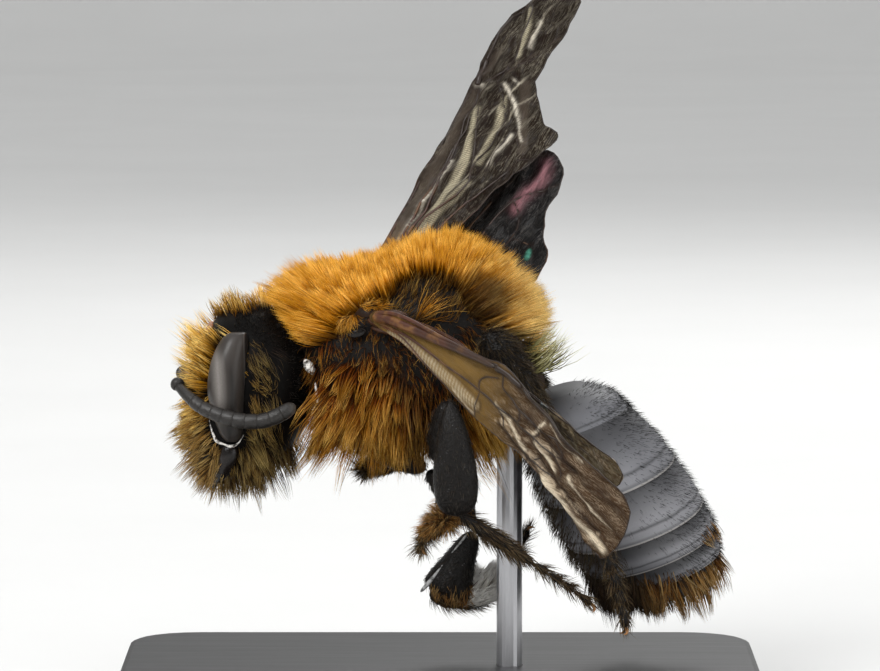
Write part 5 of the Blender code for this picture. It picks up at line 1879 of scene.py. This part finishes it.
# Each lamp's name, place, size and power
LAMPS = [
    ("key", (-90.0, -120.0, 130.0), 90.0, 0.3), ("fill", (130.0, -110.0, 60.0), 120.0, 0.09),
    ("rim", (40.0, 130.0, 120.0), 90.0, 0.12), ("top", (0.0, -10.0, 760.0), 1300.0, 4.0),
]
AIR_COLOUR = (0.93, 0.95, 1.0, 1.0)
AIR_STRENGTH = 0.3


def make_paper(look):
    """The pale sheet under the stand and round it."""
    sides = PAPER_SIDES
    ways = turns(sides)
    points = [(reach * math.cos(way) * MM, reach * math.sin(way) * MM, rise * MM)
              for reach, rise in zip(PAPER_REACH, PAPER_RISE) for way in ways]
    faces = [tuple(range(sides))]
    for low in range(0, (len(PAPER_REACH) - 1) * sides, sides):
        for side in range(sides):
            following = (side + 1) % sides
            faces.append((low + side, low + sides + side, low + sides + following, low + following))
    sheet = bpy.data.meshes.new("studio_sheet")
    sheet.from_pydata(points, [], faces)
    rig.stage(shown(sheet, look))


def make_studio(looks):
    """The paper, the lamps, the air and the camera."""
    scene = bpy.context.scene
    make_paper(looks["floor"])
    target = Vector((0.0, 0.0, VIEW_HEIGHT)) * MM
    for name, spot, size, power in LAMPS:
        data = bpy.data.lights.new(name, "AREA")
        data.shape = "SQUARE"
        data.size = size * MM
        data.energy = power
        lamp = bpy.data.objects.new(name, data)
        lamp.location = Vector(spot) * MM
        lamp.rotation_euler = (target - lamp.location).to_track_quat("-Z", "Y").to_euler()
        scene.collection.objects.link(lamp)

    world = bpy.data.worlds.new("studio_air")
    world.use_nodes = True
    air = world.node_tree.nodes["Background"]
    air.inputs["Color"].default_value = AIR_COLOUR
    air.inputs["Strength"].default_value = AIR_STRENGTH
    scene.world = world
    scene.view_settings.view_transform = "Standard"

    data = bpy.data.cameras.new("camera")
    data.lens = LENS
    data.sensor_width = SENSOR
    data.clip_start = 0.01
    data.clip_end = 3.0
    camera = bpy.data.objects.new("camera", data)
    distance = VIEW_WIDTH * LENS / SENSOR * MM
    rise = math.radians(VIEW_RISE)
    camera.location = target + Vector((0.0, -math.cos(rise), math.sin(rise))) * distance
    camera.rotation_euler = (math.pi / 2 - rise, 0.0, 0.0)
    scene.collection.objects.link(camera)
    scene.camera = camera


# Each membrane's name and finish: smoke and light colours, the silver of the painted highlights, the pleats' painted
# highlight colour and the cross bands' colour, wrinkles, ribs,
# film thickness and how solid it is
MEMBRANES = {
    "forewing_left_membrane": (
        "near_forewing", (0.019, 0.009, 0.004), (0.072, 0.037, 0.016), (0.62, 0.49, 0.34),
        (0.78, 0.67, 0.5), (0.56, 0.47, 0.32), (2.2, 19.0, 0.42), (54.0, 0.6), 0.0, 0.98),
    "forewing_right_membrane": (
        "far_forewing", (0.006, 0.004, 0.0028), (0.024, 0.015, 0.009), (0.58, 0.52, 0.4),
        (0.82, 0.75, 0.62), (0.55, 0.49, 0.34), (1.7, 16.0, 0.43), (108.0, 0.45), 0.0, 0.99),
    "hindwing_left_membrane": (
        "near_hindwing", (0.03, 0.019, 0.012), (0.09, 0.06, 0.038), (0.3, 0.24, 0.17),
        (0.26, 0.2, 0.135), (0.45, 0.6, 0.72), (3.0, 12.0, 0.35), (54.0, 0.2), 120.0, 0.94),
    "hindwing_right_membrane": (
        "far_hindwing", (0.002, 0.002, 0.002), (0.01, 0.009, 0.009), (0.34, 0.32, 0.3),
        (0.34, 0.16, 0.18), (0.08, 0.3, 0.22), (3.0, 16.0, 0.32), (54.0, 0.2), 0.0, 0.98),
}
# Each kind of hair: root, middle and tip colours, then the colours that tone and dark turn it toward,
# with its shine and how much its brightness varies
# The dark root colours are partly painted shade deep in the coat
HAIRS = {
    "thorax": ((0.07, 0.018, 0.002), (0.48, 0.18, 0.01), (0.8, 0.4, 0.065),
               (0.86, 0.6, 0.22), (0.06, 0.034, 0.014), 0.45, 1.1),
    "flank": ((0.01, 0.003, 0.001), (0.25, 0.068, 0.004), (0.78, 0.43, 0.092),
              (0.46, 0.27, 0.06), (0.02, 0.008, 0.003), 0.42, 1.34),
    "waist": ((0.035, 0.03, 0.012), (0.34, 0.31, 0.13), (0.76, 0.74, 0.46),
              (0.5, 0.5, 0.2), (0.03, 0.025, 0.015)),
    "face": ((0.13, 0.048, 0.009), (0.66, 0.34, 0.05), (0.92, 0.66, 0.22),
             (0.3, 0.185, 0.07), (0.04, 0.026, 0.015)),
    "cheek": ((0.026, 0.015, 0.007), (0.2, 0.12, 0.034), (0.5, 0.35, 0.12),
              (0.24, 0.15, 0.06), (0.018, 0.012, 0.009)),
    "black": ((0.004, 0.0035, 0.003), (0.009, 0.008, 0.007), (0.028, 0.023, 0.018),
              (0.09, 0.06, 0.03), (0.004, 0.0035, 0.0035)),
    "leg": ((0.006, 0.005, 0.004), (0.013, 0.011, 0.009), (0.12, 0.115, 0.108),
            (0.06, 0.044, 0.03), (0.006, 0.005, 0.004)),
    "foot": ((0.012, 0.009, 0.006), (0.055, 0.036, 0.019), (0.34, 0.25, 0.14),
             (0.12, 0.076, 0.036), (0.01, 0.008, 0.006)),
    "tail": ((0.055, 0.024, 0.008), (0.27, 0.125, 0.034), (0.52, 0.32, 0.125),
             (0.44, 0.3, 0.13), (0.03, 0.018, 0.01)),
    "pale": ((0.93, 0.88, 0.78), (0.98, 0.95, 0.88), (0.99, 0.97, 0.93),
             (0.8, 0.7, 0.5), (0.12, 0.08, 0.05), 0.3, 0.2),
    "shin": ((0.006, 0.005, 0.004), (0.02, 0.014, 0.009), (0.085, 0.06, 0.032),
             (0.1, 0.065, 0.03), (0.006, 0.005, 0.004)),
    "ball": ((0.05, 0.022, 0.008), (0.3, 0.125, 0.028), (0.55, 0.3, 0.1),
             (0.36, 0.22, 0.09), (0.03, 0.018, 0.01)),
}


def make_looks():
    """Every finish by the name that the pieces know it by."""
    looks = {
        "head": shell_finish("head_shell", (0.002, 0.0018, 0.0016), (0.005, 0.004, 0.0035), 0.4, 0.05),
        "gloss": shell_finish("gloss_shell", (0.004, 0.0035, 0.003), (0.014, 0.009, 0.007), 0.24, 0.3,
                              14.0, 0.15),
        "tegula": shell_finish("tegula_cap", (0.006, 0.003, 0.002), (0.04, 0.017, 0.007), 0.4, 0.14,
                               9.0, 0.8),
        "hinge": shell_finish("wing_hinge", (0.014, 0.006, 0.004), (0.09, 0.034, 0.013), 0.34, 0.3,
                              10.0, 0.3),
        "ocellus": cloudy_finish("ocellus", (7.0, 2.0), (0.2, 0.075, 0.035), (0.46, 0.22, 0.12),
                                 (0.1, 0.1), Coat_Weight=0.8),
        "eye": eye_finish(),
        # Painted highlight: pale shell for the bright edges of the eye's lower rim and the neck's plates
        "pale": cloudy_finish("pale_highlight_shell", (9.0, 3.0), (0.03, 0.024, 0.018), (0.74, 0.71, 0.66),
                              (0.26, 0.25), (0.4, 0.02), (0.38, 0.58)),
        "silver": cloudy_finish("silver_edge", (9.0, 3.0), (0.14, 0.14, 0.135), (0.42, 0.42, 0.42),
                                (0.26, 0.25), (0.4, 0.02), (0.38, 0.58)),
        "antenna": antenna_finish(),
        "thorax": thorax_skin_finish(),
        "plate": plate_finish(),
        "vein": vein_finish(),
        "leg": leg_finish(),
        "claw": cloudy_finish("claw_horn", (6.0, 3.0), (0.22, 0.085, 0.022), (0.46, 0.22, 0.07),
                              (0.24, 0.2), (0.2, 0.01)),
        "base": stand_finish(),
        "rod": cloudy_finish("rod_steel", (5.0, 4.0, 0.7, (6.0, 6.0, 0.25)), (0.42, 0.42, 0.44),
                             (0.62, 0.62, 0.64), (0.24, 0.2), (0.1, 0.01), Metallic=1.0),
        "floor": cloudy_finish("studio_paper", (0.05, 4.0), (0.66, 0.66, 0.65), (0.72, 0.72, 0.71),
                               (0.85, 0.0)),
    }
    for piece, numbers in MEMBRANES.items():
        looks[piece] = membrane_finish(*numbers)
    for kind, colours in HAIRS.items():
        looks[f"{kind}_hair"] = hair_finish(f"{kind}_{'bristle' if kind == 'black' else 'pile'}", *colours)
    return looks


def dress_stand(looks):
    """Gives the stand's two solids their finishes."""
    for part in ("base", "rod"):
        materials = frame["nodes"][f"stand_{part}"].data.materials
        materials.clear()
        materials.append(looks[part])


def make_bee():
    """Makes the finishes and the studio, then the bee part by part, then its coat."""
    looks = make_looks()
    make_studio(looks)
    dress_stand(looks)
    head = make_head(looks)
    thorax = make_thorax(looks)
    plates = make_abdomen(looks)
    make_wings(looks)
    legs = {name: make_leg(name, leg, looks) for name, leg in LEGS.items()}
    thorax_coat(thorax, looks)
    face_coat(head, looks)
    abdomen_coat(plates, looks)
    leg_coat(legs, looks)


make_bee()
bpy.context.view_layer.update()
with open("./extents.json", "w") as record:
    json.dump({"cad": [list(corner) for corner in CAD_BOX],
               "visual": [list(corner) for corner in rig.bounds()]}, record)
